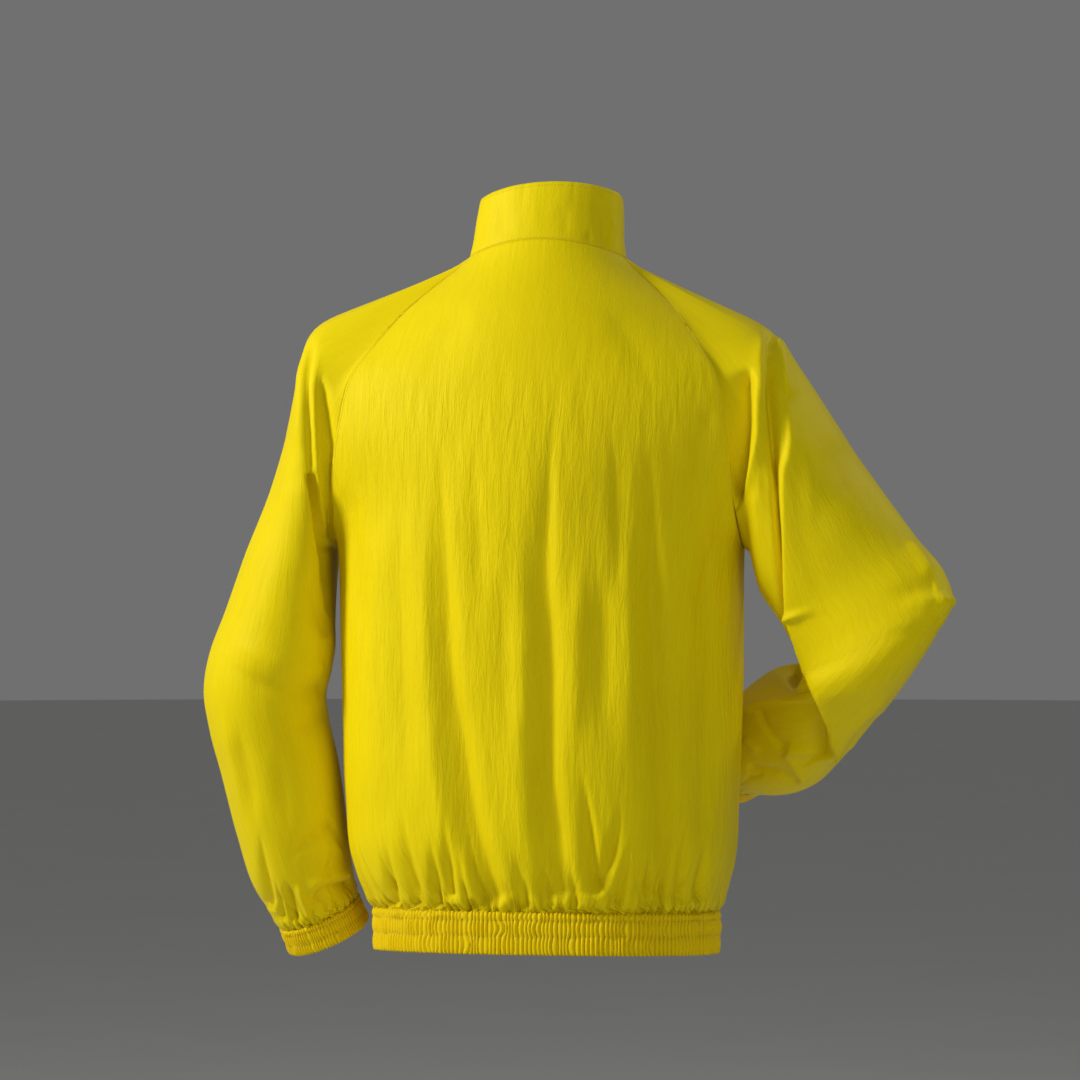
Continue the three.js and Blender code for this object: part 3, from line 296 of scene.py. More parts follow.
LEFT_SLEEVE_FOLDS = folds(
    ((311, 336, 308, 392, 310, 443, 311, 476), -3.6, 3, 3, 0.1, 0.1),
    ((301, 345, 299, 400, 300, 460), 3.4, 13, 6, 0.3, 0.3),
    ((315, 348, 314, 400, 316, 450, 320, 500, 329, 545), 3.4, 3, 5, 0.2, 0.1),
    ((309, 472, 311, 490, 314, 512, 319, 545, 327, 590, 332, 622), -13, 1.8, 4, 0.03, 0.1),
    ((303, 468, 307, 505, 312, 545, 321, 595), 4.5, 13, 2.5, 0.2, 0.3),
    ((319, 370, 326, 420, 331, 475, 334, 545), -8, 7, 5, 0.15, 0.05),
    ((338, 548, 330, 550, 321, 553), -3, 3, 2, 0.05, 0.3),
    ((286, 420, 274, 500, 262, 580, 250, 640), -2.4, 14, 16, 0.5, 0.5),
    ((327, 688, 300, 694, 262, 684, 222, 662), -4.5, 9, 7, 0.05, 0.5),
    ((328, 668, 296, 668, 258, 656, 226, 636), 3.2, 14, 12, 0.1, 0.5),
    ((330, 716, 304, 726, 276, 728), -3, 8, 8, 0.05, 0.7),
    ((330, 640, 318, 612, 306, 570), -2.8, 8, 8, 0.1, 0.7),
    ((336, 824, 322, 833, 304, 842, 288, 862), -5, 7, 5, 0.05, 0.5),
    ((342, 848, 330, 856, 318, 872), 3.4, 9, 6, 0.1, 0.3),
    ((260, 826, 264, 868, 271, 908), -7, 6, 5, 0.8, 0.02),
    ((274, 874, 279, 898, 283, 920), -5, 4, 3, 0.8, 0.02),
    ((286, 880, 291, 902, 296, 921), -8, 5, 4, 0.4, 0.02),
    ((297, 884, 303, 900, 309, 918), 4, 3.5, 3, 0.2, 0.05),
    ((352, 882, 336, 886, 322, 892, 311, 906), -8, 2, 7, 0.05, 0.15),
    ((350, 874, 334, 877, 320, 882, 306, 893), 5, 6, 3, 0.05, 0.25),
    ((333, 846, 330, 864, 326, 880), -3, 6, 6, 0.2, 0.2),
    ((276, 740, 284, 790, 290, 840), -2.2, 12, 10, 0.5, 0.5),
    ((236, 712, 246, 770, 258, 830), -2.6, 10, 10, 0.4, 0.4),
    ((220, 700, 232, 760, 246, 830), 2, 7, 7, 0.4, 0.4),
)
RIGHT_SLEEVE_FOLDS = folds(
    ((751, 366, 749, 395, 747, 430, 741, 472, 735, 512), -15, 15, 4, 0.12, 0.1),
    ((753, 371, 754, 393, 756, 426, 755, 444, 749, 476, 742, 500), 5, 2.5, 9, 0.1, 0.2),
    ((761, 460, 757, 520, 762, 570, 772, 605), 3, 9, 8, 0.3, 0.2),
    ((771, 332, 771, 352, 773, 376, 774, 400), -7, 3, 3, 0.1, 0.4),
    ((771, 356, 774, 400, 775, 450, 776, 492), -13, 8, 4, 0.35, 0.25),
    ((775, 440, 777, 500, 779, 540, 781, 578, 785, 622), -10, 3.5, 2, 0.25, 0.02),
    ((769, 331, 763, 346, 761, 366, 763, 390, 767, 410, 770, 466, 773, 500), 3.6, 7, 2.5, 0.1, 0.2),
    ((775, 336, 780, 356, 784, 383, 787, 400), 5, 2.5, 10, 0.1, 0.1),
    ((787, 394, 787, 446, 782, 472, 783, 515, 785, 565, 788, 620), 6, 2, 18, 0.25, 0.02),
    ((787, 610, 803, 653, 811, 677, 823, 706, 830, 727, 833, 742, 839, 757), 8, 1.6, 15, 0.05, 0.03),
    ((780, 624, 794, 657, 803, 681, 815, 711, 821, 731, 823, 744, 829, 757), -13, 15, 3.4, 0.05, 0.03),
    ((829, 430, 840, 468, 853, 506), -3.6, 16, 20, 0.4, 0.5),
    ((800, 410, 808, 470, 812, 540), 2.4, 12, 14, 0.4, 0.5),
    ((838, 420, 868, 490, 898, 548), -2, 14, 14, 0.4, 0.5),
    ((905, 536, 920, 554, 934, 577), 4, 7, 4, 0.3, 0.2),
    ((949, 600, 924, 602, 886, 612), 3.6, 8, 8, 0.02, 0.7),
    ((953, 602, 944, 602, 934, 603), 5, 4, 4, 0.02, 0.4),
    ((940, 622, 912, 632, 880, 636), -3, 9, 9, 0.05, 0.7),
    ((936, 588, 908, 590, 876, 596), -2.4, 8, 8, 0.05, 0.7),
    ((884, 711, 866, 728, 838, 756), -3.4, 3, 3, 0.2, 0.05),
    ((893, 692, 868, 714, 843, 738), 2.6, 5, 6, 0.3, 0.3),
    ((813, 703, 790, 701, 770, 701, 753, 706, 740, 716), 3, 5, 2.4, 0.1, 0.1),
    ((757, 708, 766, 728, 784, 751), -3.2, 2.5, 7, 0.1, 0.1),
    ((836, 759, 810, 754, 785, 752), 4.6, 6, 3, 0.02, 0.1),
    ((829, 730, 832, 744, 834, 756), 3.5, 5, 3, 0.2, 0.05),
    ((783, 752, 794, 767, 804, 784), 3, 3, 5, 0.1, 0.1),
    ((746, 766, 763, 769, 782, 773, 801, 784), -4, 5, 3, 0.1, 0.1),
    ((744, 779, 753, 777, 763, 775), -2.4, 3, 3, 0.2, 0.2),
    ((742, 738, 752, 746, 762, 752), 2.6, 5, 4, 0.2, 0.3),
    ((742, 566, 752, 590, 768, 612), -2.4, 6, 8, 0.1, 0.4),
)
# Softer folds on the side of a sleeve that the view doesn't show
LEFT_HIDDEN_FOLDS = folds(
    ((300, 350, 296, 430, 306, 540), -7, 8, 10, 0.2, 0.3),
    ((322, 380, 322, 460, 330, 540), -5, 6, 7, 0.2, 0.2),
    ((280, 430, 262, 540, 252, 620), -3, 14, 14, 0.4, 0.4),
    ((324, 680, 290, 672, 246, 664), -5, 10, 9, 0.1, 0.5),
    ((326, 712, 292, 714, 250, 700), -4, 9, 9, 0.1, 0.5),
    ((328, 650, 292, 636, 250, 622), 3, 11, 10, 0.1, 0.5),
    ((250, 780, 262, 850, 280, 910), -4, 9, 9, 0.4, 0.1),
    ((300, 800, 306, 860, 312, 915), -4, 8, 8, 0.4, 0.1),
)
RIGHT_HIDDEN_FOLDS = folds(
    ((772, 350, 764, 430, 752, 530), -7, 8, 10, 0.2, 0.3),
    ((800, 390, 806, 480, 790, 580), -5, 9, 9, 0.3, 0.3),
    ((834, 430, 860, 520, 850, 600), -3, 14, 14, 0.4, 0.4),
    ((800, 640, 840, 626, 890, 618), -5, 9, 10, 0.1, 0.5),
    ((808, 668, 848, 664, 896, 650), -4, 9, 9, 0.1, 0.5),
    ((780, 700, 810, 720, 850, 726), -4, 8, 8, 0.1, 0.5),
    ((760, 724, 786, 748, 812, 770), -3.5, 7, 7, 0.2, 0.2),
)
COLLAR_FOLDS = folds(
    ((612, 214, 611, 232, 608, 252), 2.2, 3, 3, 0.3, 0.1),
    ((603, 222, 602, 238, 599, 250), -1.6, 3, 3, 0.4, 0.1),
    ((589, 228, 588, 240, 586, 248), -1.2, 3, 3, 0.4, 0.1),
    ((597, 196, 600, 214, 604, 232), -1.4, 6, 5, 0.3, 0.4),
    ((560, 200, 564, 220, 566, 240), -0.8, 9, 8, 0.4, 0.4),
    ((505, 200, 503, 220, 506, 240), -0.8, 8, 8, 0.4, 0.4),
)


def smooth(keys, values, t):
    """Values at `t` on a smooth curve through rows of values; keys rise."""
    values = np.asarray(values, float)
    wide = values.reshape(len(keys), -1)
    step = np.diff(keys)
    slope = np.diff(wide, axis=0) / step[:, None]
    before, after = step[:-1, None], step[1:, None]
    inner = (slope[:-1] * after + slope[1:] * before) / (before + after)
    bend = np.vstack([slope[:1], inner, slope[-1:]])
    t = np.atleast_1d(t)
    i = np.clip(np.searchsorted(keys, t) - 1, 0, len(keys) - 2)
    h = step[i, None]
    s = np.clip((t - keys[i]) / step[i], 0, 1)[:, None]
    rise = s * s * (3 - 2 * s)
    found = wide[i] + (wide[i + 1] - wide[i]) * rise
    found += s * (1 - s) ** 2 * h * bend[i] + s * s * (s - 1) * h * bend[i + 1]
    return found.reshape((len(t),) + values.shape[1:])


def look_up(table, name, t):
    return smooth(table["at"], table[name], np.ravel(t)).reshape(np.shape(t))


def step_up(x, low, high):
    """0 below `low`, 1 above `high`, smooth between."""
    s = np.clip((x - low) / (high - low), 0, 1)
    return s * s * (3 - 2 * s)


def along(points):
    """Length along a line of points, from its first."""
    return np.concatenate([[0], np.cumsum(np.linalg.norm(np.diff(points, axis=0), axis=1))])


def placed(line, where):
    """The rows of a line at lengths along it; its first three columns are its points."""
    length = along(line[:, :3])
    return np.stack([np.interp(where, length, values) for values in line.T], 1)


def evenly(points, steps):
    """The same line with evenly spaced points."""
    return placed(points, np.linspace(0, along(points)[-1], steps + 1))


def raglan_seam(table, side):
    keys = np.linspace(0, 1, len(table["x"]))
    places = smooth(keys, np.stack([table["x"], table["y"], table["z"]], 1), np.linspace(0, 1, FINE_STEPS))
    x = look_up(MIDDLE_LINE, "x", places[:, 2]) + side * places[:, 0]
    return evenly(np.stack([x, places[:, 1], places[:, 2]], 1), RAGLAN_STEPS)


def neck_side(side):
    t = np.linspace(0, 1, FINE_STEPS)
    z = look_up(NECK_SIDE, "z", t)
    x = look_up(MIDDLE_LINE, "x", z) + side * look_up(NECK_SIDE, "x", t)
    return evenly(np.stack([x, look_up(NECK_SIDE, "y", t), z], 1), NECK_STEPS)


def body_rows(facing):
    """Ends, middle, squareness and flatness of every row of the back (1) or of the fronts (-1)."""
    share = np.linspace(0, 1, LOW_ROWS + 1)[:-1]
    z = HEM_TOP_Z + (BODY["at"][-1] - HEM_TOP_Z) * share ** 1.25
    middle_x = look_up(BODY, "middle", z)
    half = look_up(BODY, "half", z)
    reach = look_up(BODY, "back" if facing > 0 else "front", z)
    seam_y = np.full_like(z, SIDE_SEAM_Y)
    table = RAGLAN_BACK if facing > 0 else RAGLAN_FRONT
    middle = BACK_MIDDLE if facing > 0 else FRONT_MIDDLE
    up = np.linspace(0, 1, RAGLAN_STEPS + 1)
    up_z = look_up(middle, "z", up)
    up_middle = np.stack([look_up(MIDDLE_LINE, "x", up_z), look_up(middle, "y", up), up_z], 1)
    flat = smooth(np.linspace(0, 1, len(table["flat"])), table["flat"], up)
    low_power = look_up(BODY, "power", z)
    return {
        "left": np.vstack([np.stack([middle_x + half, seam_y, z], 1), raglan_seam(table, 1)]),
        "right": np.vstack([np.stack([middle_x - half, seam_y, z], 1), raglan_seam(table, -1)]),
        "middle": np.vstack([np.stack([middle_x, reach, z], 1), up_middle]),
        "power": np.concatenate([low_power, low_power[-1] + (NECK_POWER - low_power[-1]) * up]),
        "flat": np.concatenate([np.zeros_like(z), flat]),
    }


def body_points(rows, side, share, start_x):
    """A grid of points: `share` runs from the middle line (0) to the side (1)."""
    end = rows["left" if side > 0 else "right"][:, None]
    middle = rows["middle"][:, None]
    power = rows["power"][:, None]
    flat = rows["flat"][:, None]
    sine = np.sin(share * math.pi / 2)[None]
    cosine = np.maximum(np.cos(share * math.pi / 2), 0)[None]
    across = sine ** (2 / power) * (1 - flat) + sine * flat
    depth = cosine ** (2 / power) * (1 - flat) + cosine ** 2 * flat
    start = middle[..., 0] + side * start_x
    x = start + (end[..., 0] - start) * across
    y = end[..., 1] + (middle[..., 1] - end[..., 1]) * depth
    z = end[..., 2] + (middle[..., 2] - end[..., 2]) * (1 - across ** 2)
    return np.stack([x, y, z], -1)


def relaxed(grid, rows, reach, rounds, side_reach=0):
    """Rows near a place evened out up the grid; held at the two sides where `side_reach` is given."""
    place = np.arange(len(grid))
    weight = 0.5 * np.exp(-(((place - rows) / reach) ** 2))[:, None] * np.ones(grid.shape[1])
    if side_reach:
        for edge in (grid[:, :1], grid[:, -1:]):
            weight = weight * step_up(np.linalg.norm(grid - edge, axis=-1), 0, side_reach)
    for _ in range(rounds):
        middle = (grid[:-2] + grid[2:]) / 2
        grid[1:-1] += weight[1:-1, :, None] * (middle - grid[1:-1])
    return grid


def tilt_hem(grid):
    held = 1 - step_up(grid[..., 2] - HEM_TOP_Z, 0, HEM_TILT_RUN)
    grid[..., 2] += HEM_TILT * grid[..., 1] * held
    return grid


def normals_of(grid, closed):
    """Outward direction at each point of a grid."""
    up = np.gradient(grid, axis=0)
    if closed:
        side = np.roll(grid, -1, 1) - np.roll(grid, 1, 1)
    else:
        side = np.gradient(grid, axis=1)
    normal = np.cross(side, up)
    return normal / np.maximum(np.linalg.norm(normal, axis=-1, keepdims=True), 1e-9)


def seen(points):
    """Where the view shows points, in millimetres across and down it."""
    away = points - VIEW_CENTRE
    scale = VIEW_DISTANCE / (VIEW_DISTANCE - away @ TO_CAMERA)
    return VIEW_WIDTH / 2 + scale * (away @ TO_RIGHT), VIEW_WIDTH / 2 - scale * away[..., 2]


def fold_height(fold, x, y):
    """Height of one fold at every place of the view."""
    knots = np.reshape(np.array(fold["line"], float), (-1, 2))
    line = smooth(np.arange(len(knots)), knots, np.linspace(0, len(knots) - 1, 9 * len(knots)))
    length = along(np.column_stack([line, np.zeros(len(line))]))
    nearest = np.full(x.shape, 1e9)
    side = np.zeros_like(x)
    share = np.zeros_like(x)
    for (ax, ay), (bx, by), start, end in zip(line[:-1], line[1:], length[:-1], length[1:]):
        dx, dy = bx - ax, by - ay
        held = np.clip(((x - ax) * dx + (y - ay) * dy) / (dx * dx + dy * dy), 0, 1)
        off_x, off_y = x - ax - held * dx, y - ay - held * dy
        distance = np.hypot(off_x, off_y)
        closer = distance < nearest
        nearest = np.where(closer, distance, nearest)
        side = np.where(closer, off_x * dy - off_y * dx, side)
        share = np.where(closer, (start + held * (end - start)) / length[-1], share)
    fade = step_up(share, 0, fold["fade_in"]) * step_up(1 - share, 0, fold["fade_out"])
    width = np.where(side > 0, fold["right"], fold["left"]) * (FOLD_TIP + (1 - FOLD_TIP) * fade)
    return fold["rise"] * fade * np.exp(-((nearest / width) ** FOLD_CREST))


def folded(grid, closed, fold_sets):
    """Height of all folds on a grid.

    Each set shows on the side that faces the view (1), on the one that faces away (-1) or on both (0).
    """
    x, y = seen(grid)
    towards = normals_of(grid, closed) @ TO_CAMERA
    height = np.zeros(x.shape)
    for facing, fold_set in fold_sets:
        shows = 1.0 if facing == 0 else step_up(facing * towards, -0.12, 0.3)
        for fold in fold_set:
            height += shows * fold_height(fold, x, y)
    return height


def gathers(place, height, total, seed, spacing, depth, reach):
    """Uneven tucks that rise from a gathered seam: `place` along the seam, `height` above it."""
    chance = np.random.default_rng(seed)
    found = np.zeros(place.shape)
    near = height < 4 * reach
    centre = 0.0
    while centre < total:
        centre += spacing * chance.uniform(0.55, 1.6)
        deep = depth * chance.uniform(0.35, 1.3)
        long = reach * chance.choice([0.35, 0.6, 1.0, 1.6]) * chance.uniform(0.8, 1.2)
        wide = spacing * chance.uniform(0.2, 0.32)
        slant = chance.normal(0, 0.16)
        off = place[near] - centre - slant * height[near]
        off = (off + total / 2) % total - total / 2
        width = wide * np.maximum(1.3 - 0.35 * height[near] / long, 0.4)
        rise = np.minimum(1, 0.4 + height[near] / 6) * np.exp(-height[near] / long)
        found[near] -= deep * rise * np.exp(-((off / width) ** 2))
    return found


def crinkles(u, v, strength, seed):
    """Fine crinkles of the nylon, long along the cloth and narrow across it."""
    flat_u, flat_v, amount = u.ravel(), v.ravel(), np.broadcast_to(strength, u.shape).ravel()
    broad = [noise.noise((a / 13, b / 62, seed)) for a, b in zip(flat_u, flat_v)]
    fine = [noise.noise((a / 6, b / 27, seed + 7.3)) for a, b in zip(flat_u, flat_v)]
    return (amount * (0.9 * np.array(broad) + 0.45 * np.array(fine))).reshape(u.shape)


def puffed(height, rise, top, spread):
    """How far the cloth swells out above a gathered seam."""
    return rise * np.exp(-(((height - top) / spread) ** 2))


def cloth_places(grid):
    """Places on the flat cloth: along each row from its middle, and up each column."""
    across = np.zeros(grid.shape[:2])
    across[:, 1:] = np.cumsum(np.linalg.norm(np.diff(grid, axis=1), axis=-1), axis=1)
    up = np.zeros(grid.shape[:2])
    up[1:] = np.cumsum(np.linalg.norm(np.diff(grid, axis=0), axis=-1), axis=0)
    return across - across[:, grid.shape[1] // 2, None], up


def down_of(grid):
    """Direction from the second row of a grid to its first."""
    step = grid[0] - grid[1]
    return step / np.linalg.norm(step, axis=-1, keepdims=True)


def cloth_piece(node, grid, closed, thickness, material, turned=False, crush=1.0, painted_shade_depth=None):
    """A thin shell from a grid of outer points, which replaces its solid.

    `turned` adds the edge that runs on behind a gathered band, and `crush` scales the crinkles. The last
    argument is how deep each point lies between ribs or in folds, which the material paints as shade.
    """
    name = f"{node}_cloth"
    wrapped = np.concatenate([grid, grid[:, :1]], axis=1) if closed else grid
    if turned:
        behind = wrapped[0] - SEAM_TURN * normals_of(wrapped, False)[0] + SEAM_ALLOWANCE * down_of(wrapped)
        wrapped = np.concatenate([behind[None], wrapped])
    rows, count = wrapped.shape[:2]
    u, v = cloth_places(wrapped)
    corner = (np.arange(rows - 1)[:, None] * count + np.arange(count - 1)[None]).ravel()
    faces = np.stack([corner, corner + 1, corner + count + 1, corner + count], 1)
    mesh = bpy.data.meshes.new(name)
    mesh.from_pydata((wrapped.reshape(-1, 3) * MM).tolist(), [], faces.tolist())
    places = mesh.uv_layers.new(name="cloth")
    flat = np.stack([u.ravel(), v.ravel()], 1)[faces.ravel()] * MM
    places.data.foreach_set("uv", flat.ravel())
    if painted_shade_depth is None:
        painted_shade_depth = np.zeros(grid.shape[:2])
    if closed:
        painted_shade_depth = np.concatenate([painted_shade_depth, painted_shade_depth[:, :1]], axis=1)
    if turned:
        painted_shade_depth = np.concatenate([painted_shade_depth[:1], painted_shade_depth])
    marks = {
        "crushed": crush * crushed(wrapped),
        # How deep each point lies between ribs or in folds and tucks: painted shade in the material
        "painted_shade_depth": painted_shade_depth,
        "gathered": np.exp(-((v / GATHER_REACH) ** 1.3)) if turned else 0 * v,
    }
    for mark, values in marks.items():
        mesh.attributes.new(mark, "FLOAT", "POINT").data.foreach_set("value", values.ravel())
    mesh.polygons.foreach_set("use_smooth", np.ones(len(faces), bool))
    if closed:
        work = bmesh.new()
        work.from_mesh(mesh)
        bmesh.ops.remove_doubles(work, verts=work.verts, dist=0.01 * MM)
        work.to_mesh(mesh)
        work.free()
    mesh.materials.append(material)
    piece = bpy.data.objects.new(name, mesh)
    bpy.context.scene.collection.objects.link(piece)
    thicken = piece.modifiers.new("thickness", "SOLIDIFY")
    thicken.thickness = thickness * MM
    thicken.offset = -1
    bpy.ops.object.select_all(action="DESELECT")
    bpy.context.view_layer.objects.active = piece
    piece.select_set(True)
    bpy.ops.object.modifier_apply(modifier=thicken.name)
    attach(piece, "jacket")
    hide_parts(node)
    return piece


class Socket:
    """An output of a shader node. Sums and products with it add Math nodes."""

    def __init__(self, tree, output=None):
        self.tree = tree
        self.output = output

    def node(self, kind, settings=(), inputs=(), output=0):
        """Any node: its settings are set first, then the values or links of its sockets."""
        added = self.tree.nodes.new(kind)
        for name, value in dict(settings).items():
            if name == "stops":
                for element, (place, shade) in zip(added.color_ramp.elements, value):
                    element.position = place
                    element.color = shade
            else:
                setattr(added, name, value)
        for name, value in dict(inputs).items():
            if isinstance(value, Socket):
                self.tree.links.new(value.output, added.inputs[name])
            else:
                added.inputs[name].default_value = value
        return Socket(self.tree, added.outputs[output])

    def clouds(self, places, scale, detail):
        return self.node("ShaderNodeTexNoise", inputs={"Vector": places, "Scale": scale, "Detail": detail})

    def mixed(self, share, first, second):
        """A colour between two others."""
        return self.node("ShaderNodeMix", {"data_type": "RGBA"}, {0: share, 6: first, 7: second}, 2)

    def bump(self, height, strength, distance):
        return self.node("ShaderNodeBump", inputs={
            "Strength": strength, "Distance": distance, "Height": height})

    def maths(self, operation, first, second=0.0):
        return self.node("ShaderNodeMath", {"operation": operation}, {0: first, 1: second})

    def __add__(self, other):
        return self.maths("ADD", self, other)

    def __sub__(self, other):
        return self.maths("SUBTRACT", self, other)

    def __rsub__(self, other):
        return self.maths("SUBTRACT", other, self)

    def __mul__(self, other):
        return self.maths("MULTIPLY", self, other)

    __radd__ = __add__
    __rmul__ = __mul__


def new_material(name, constants):
    """A material, its surface shader and a first socket for expressions."""
    material = bpy.data.materials.new(name)
    material.use_nodes = True
    shader = material.node_tree.nodes["Principled BSDF"]
    for socket, value in constants.items():
        shader.inputs[socket].default_value = value
    return material, shader, Socket(material.node_tree)


def feed(shader, **links):
    for name, value in links.items():
        value.tree.links.new(value.output, shader.inputs[name.replace("_", " ")])


def nylon(name, lit, deep, crinkle, rib):
    """Crinkled nylon: streaks in colour, short crinkles and a fine weave as relief.

    Near a gathered seam it has pinched lines, in relief and in painted shade, and between ribs and in folds
    and tucks its colour is darkened as painted shade.
    """
    material, shader, start = new_material(name, {
        "Specular IOR Level": 0.22, "Specular Tint": (1.0, 0.85, 0.2, 1.0)})
    places = start.node("ShaderNodeUVMap", {"uv_map": "cloth"})

    def scaled(across, up):
        """Cloth places multiplied by a number of repeats to a metre each way."""
        return start.node("ShaderNodeMapping", inputs={"Vector": places, "Scale": (across, up, 1.0)})

    def texture(across, up, detail, **more):
        return start.node("ShaderNodeTexNoise", {"noise_dimensions": "2D"}, {
            "Vector": scaled(across, up), "Scale": 1.0, "Detail": detail, **more})

    def weave(direction):
        return start.node("ShaderNodeTexWave", {"wave_type": "BANDS", "bands_direction": direction}, {
            "Vector": scaled(1500, 1500), "Scale": 0.32, "Distortion": 0.4})

    def mark(label):
        return start.node("ShaderNodeAttribute", {"attribute_name": label}, output="Fac")

    cloud = texture(9, 6, 2.0)
    streak = texture(330, 26, 3.0, Roughness=0.6)
    crease = texture(190, 26, 4.0, Roughness=0.6, Distortion=0.4)
    fine = texture(620, 170, 2.0)
    pinch = start.node("ShaderNodeValToRGB", {
        "stops": [(0.36, WHITE), (0.5, BLACK)]}, {"Fac": texture(210, 16, 2.0, Distortion=0.3)})
    # Pinch lines by a gathered seam: pressed in as relief, and darkened in colour as painted shade
    pinch_bump_and_shade = mark("gathered") * pinch
    painted_shade = mark("painted_shade_depth") + pinch_bump_and_shade
    colour = start.mixed(cloud * 0.45 + streak * 0.35 + crease * 0.2, deep, lit)
    relief = (crease * crinkle + streak * rib) * mark("crushed") + fine * (0.2 * crinkle)
    relief = relief + (weave("X") + weave("Y")) * 0.03 - pinch_bump_and_shade * 1.4
    feed(
        shader,
        # Painted shade: colour darkened towards the shade colour between ribs, in folds and tucks and along
        # pinch lines
        Base_Color=start.mixed(painted_shade * 0.8, colour, PAINTED_GROOVE_SHADE),
        Roughness=0.4 + streak * 0.16 + cloud * 0.08,
        Normal=start.bump(relief, 0.7, 0.0012),
    )
    return material


def woven_tape():
    """Zip tape: a dense twill."""
    material, shader, start = new_material("zip_tape_twill", {
        "Specular IOR Level": 0.25, "Sheen Weight": 0.2})
    places = start.node("ShaderNodeTexCoord", output="Object")
    rows = start.node("ShaderNodeMapping", inputs={
        "Vector": places, "Rotation": (0.0, math.radians(45), 0.0), "Scale": (900.0, 900.0, 900.0)})
    twill = start.node("ShaderNodeTexWave", {"wave_type": "BANDS", "bands_direction": "X"}, {
        "Vector": rows, "Scale": 0.5, "Distortion": 0.3})
    patch = start.clouds(places, 60.0, 2.0)
    colour = start.mixed(twill * 0.6 + patch * 0.4, (0.50, 0.33, 0.004, 1.0), (0.78, 0.58, 0.012, 1.0))
    feed(shader, Base_Color=colour, Roughness=0.7 + patch * 0.2, Normal=start.bump(twill, 0.5, 0.0003))
    return material


def lacquered_metal():
    """Slider, pull tab and retainer: satin yellow lacquer, worn a little paler on raised spots."""
    material, shader, start = new_material("zip_lacquer", {
        "Metallic": 0.55, "Specular IOR Level": 0.5, "Coat Roughness": 0.2})
    places = start.node("ShaderNodeTexCoord", output="Object")
    cast = start.clouds(places, 420.0, 3.0)
    worn = start.clouds(places, 130.0, 2.0)
    bare = start.node("ShaderNodeValToRGB", {"stops": [(0.52, BLACK), (0.72, WHITE)]}, {"Fac": worn})
    feed(
        shader,
        Base_Color=start.mixed(bare, (0.66, 0.46, 0.03, 1.0), (0.80, 0.66, 0.20, 1.0)),
        Roughness=0.28 + cast * 0.16,
        Normal=start.bump(cast, 0.25, 0.0002),
        Coat_Weight=0.3 + cast * 0.2,
    )
    return material


def uneven(name, constants, scale, detail, dark, light, rough, change):
    """A plain material whose colour and roughness vary a little."""
    material, shader, start = new_material(name, constants)
    patch = start.clouds(start.node("ShaderNodeTexCoord", output="Object"), scale, detail)
    feed(shader, Base_Color=start.mixed(patch, dark, light), Roughness=rough + patch * change)
    return material


BLACK = (0.0, 0.0, 0.0, 1.0)
WHITE = (1.0, 1.0, 1.0, 1.0)
# Painted shade: the colour that gaps between ribs, folds, tucks and pinch lines are darkened towards
PAINTED_GROOVE_SHADE = (0.42, 0.27, 0.001, 1.0)
shell_nylon = nylon("shell_nylon", (0.96, 0.78, 0.003, 1.0), (0.74, 0.58, 0.002, 1.0), 1.15, 0.2)
# Hem band and cuffs: a more orange copy of the shell nylon, painted to stand for light bounced between the
# ribs
band_nylon_painted_bounce = nylon("band_nylon_painted_bounce", (0.93, 0.70, 0.004, 1.0), (0.80, 0.55, 0.002, 1.0), 0.5, 0.25)
thread = uneven(
    "sewing_thread", {"Specular IOR Level": 0.3, "Sheen Weight": 0.3}, 900.0, 1.0,
    (0.62, 0.44, 0.004, 1.0), (0.88, 0.70, 0.01, 1.0), 0.55, 0.2)


def back_grid():
    rows = body_rows(1)
    share = np.linspace(0, 1, BACK_COLUMNS // 2 + 1)
    left = body_points(rows, 1, share, 0)
    right = body_points(rows, -1, share, 0)
    grid = np.concatenate([left[:, ::-1], right[:, 1:]], axis=1)
    return tilt_hem(relaxed(grid, LOW_ROWS, EASE_REACH, EASE_ROUNDS, BACK_HOLD))


def front_grid(side):
    points = body_points(body_rows(-1), side, np.linspace(0, 1, FRONT_COLUMNS + 1), ZIP_OPENING)
    grid = points if side > 0 else points[:, ::-1]
    return tilt_hem(relaxed(grid, LOW_ROWS, EASE_REACH, EASE_ROUNDS, FRONT_HOLD))


def seam_fade(grid, seams, width=SEAM_FADE):
    """How much of a fold is left near the named edges of a grid."""
    fade = np.ones(grid.shape[:2])
    edges = {"left": grid[:, :1], "right": grid[:, -1:], "top": grid[-1:]}
    for name in seams:
        fade *= step_up(np.linalg.norm(grid - edges[name], axis=-1), 0, width)
    return fade


def body_relief(grid, fold_set, seam_place, hem_length, seed):
    """Heights over the back or a front: folds, hem gathers, a tuck at each seam, and crinkles."""
    u, v = cloth_places(grid)
    fade = seam_fade(grid, ["left", "right", "top"])
    edge = seam_fade(grid, ["left", "right", "top"], SEAM_EDGE)
    side_edge = seam_fade(grid, ["left", "right"], SEAM_EDGE)
    place = seam_place[None] + np.zeros_like(v)
    tucks = gathers(place, v, hem_length, seed, *HEM_GATHERS)
    puff = puffed(v, *HEM_PUFF)
    fine = crinkles(u, v, 0.08 + 0.5 * crushed(grid) * step_up(v, 4, 30), seed)
    shown = fade * step_up(v, -8, 6) * folded(grid, False, [(0, fold_set)])
    rise = shown + edge * (tucks + fine) + puff - SEAM_DIP * (1 - side_edge) + neck_fill(grid, grid[-1])
    # The second value is how deep each point lies in folds and tucks, for painted shade
    return rise, painted_shade_of(shown, tucks)


def crushed(grid):
    """How crinkled the cloth is: smooth over the shoulders, crushed from the shoulder blades down."""
    return 1 - 0.85 * step_up(grid[..., 2], -190, -70)


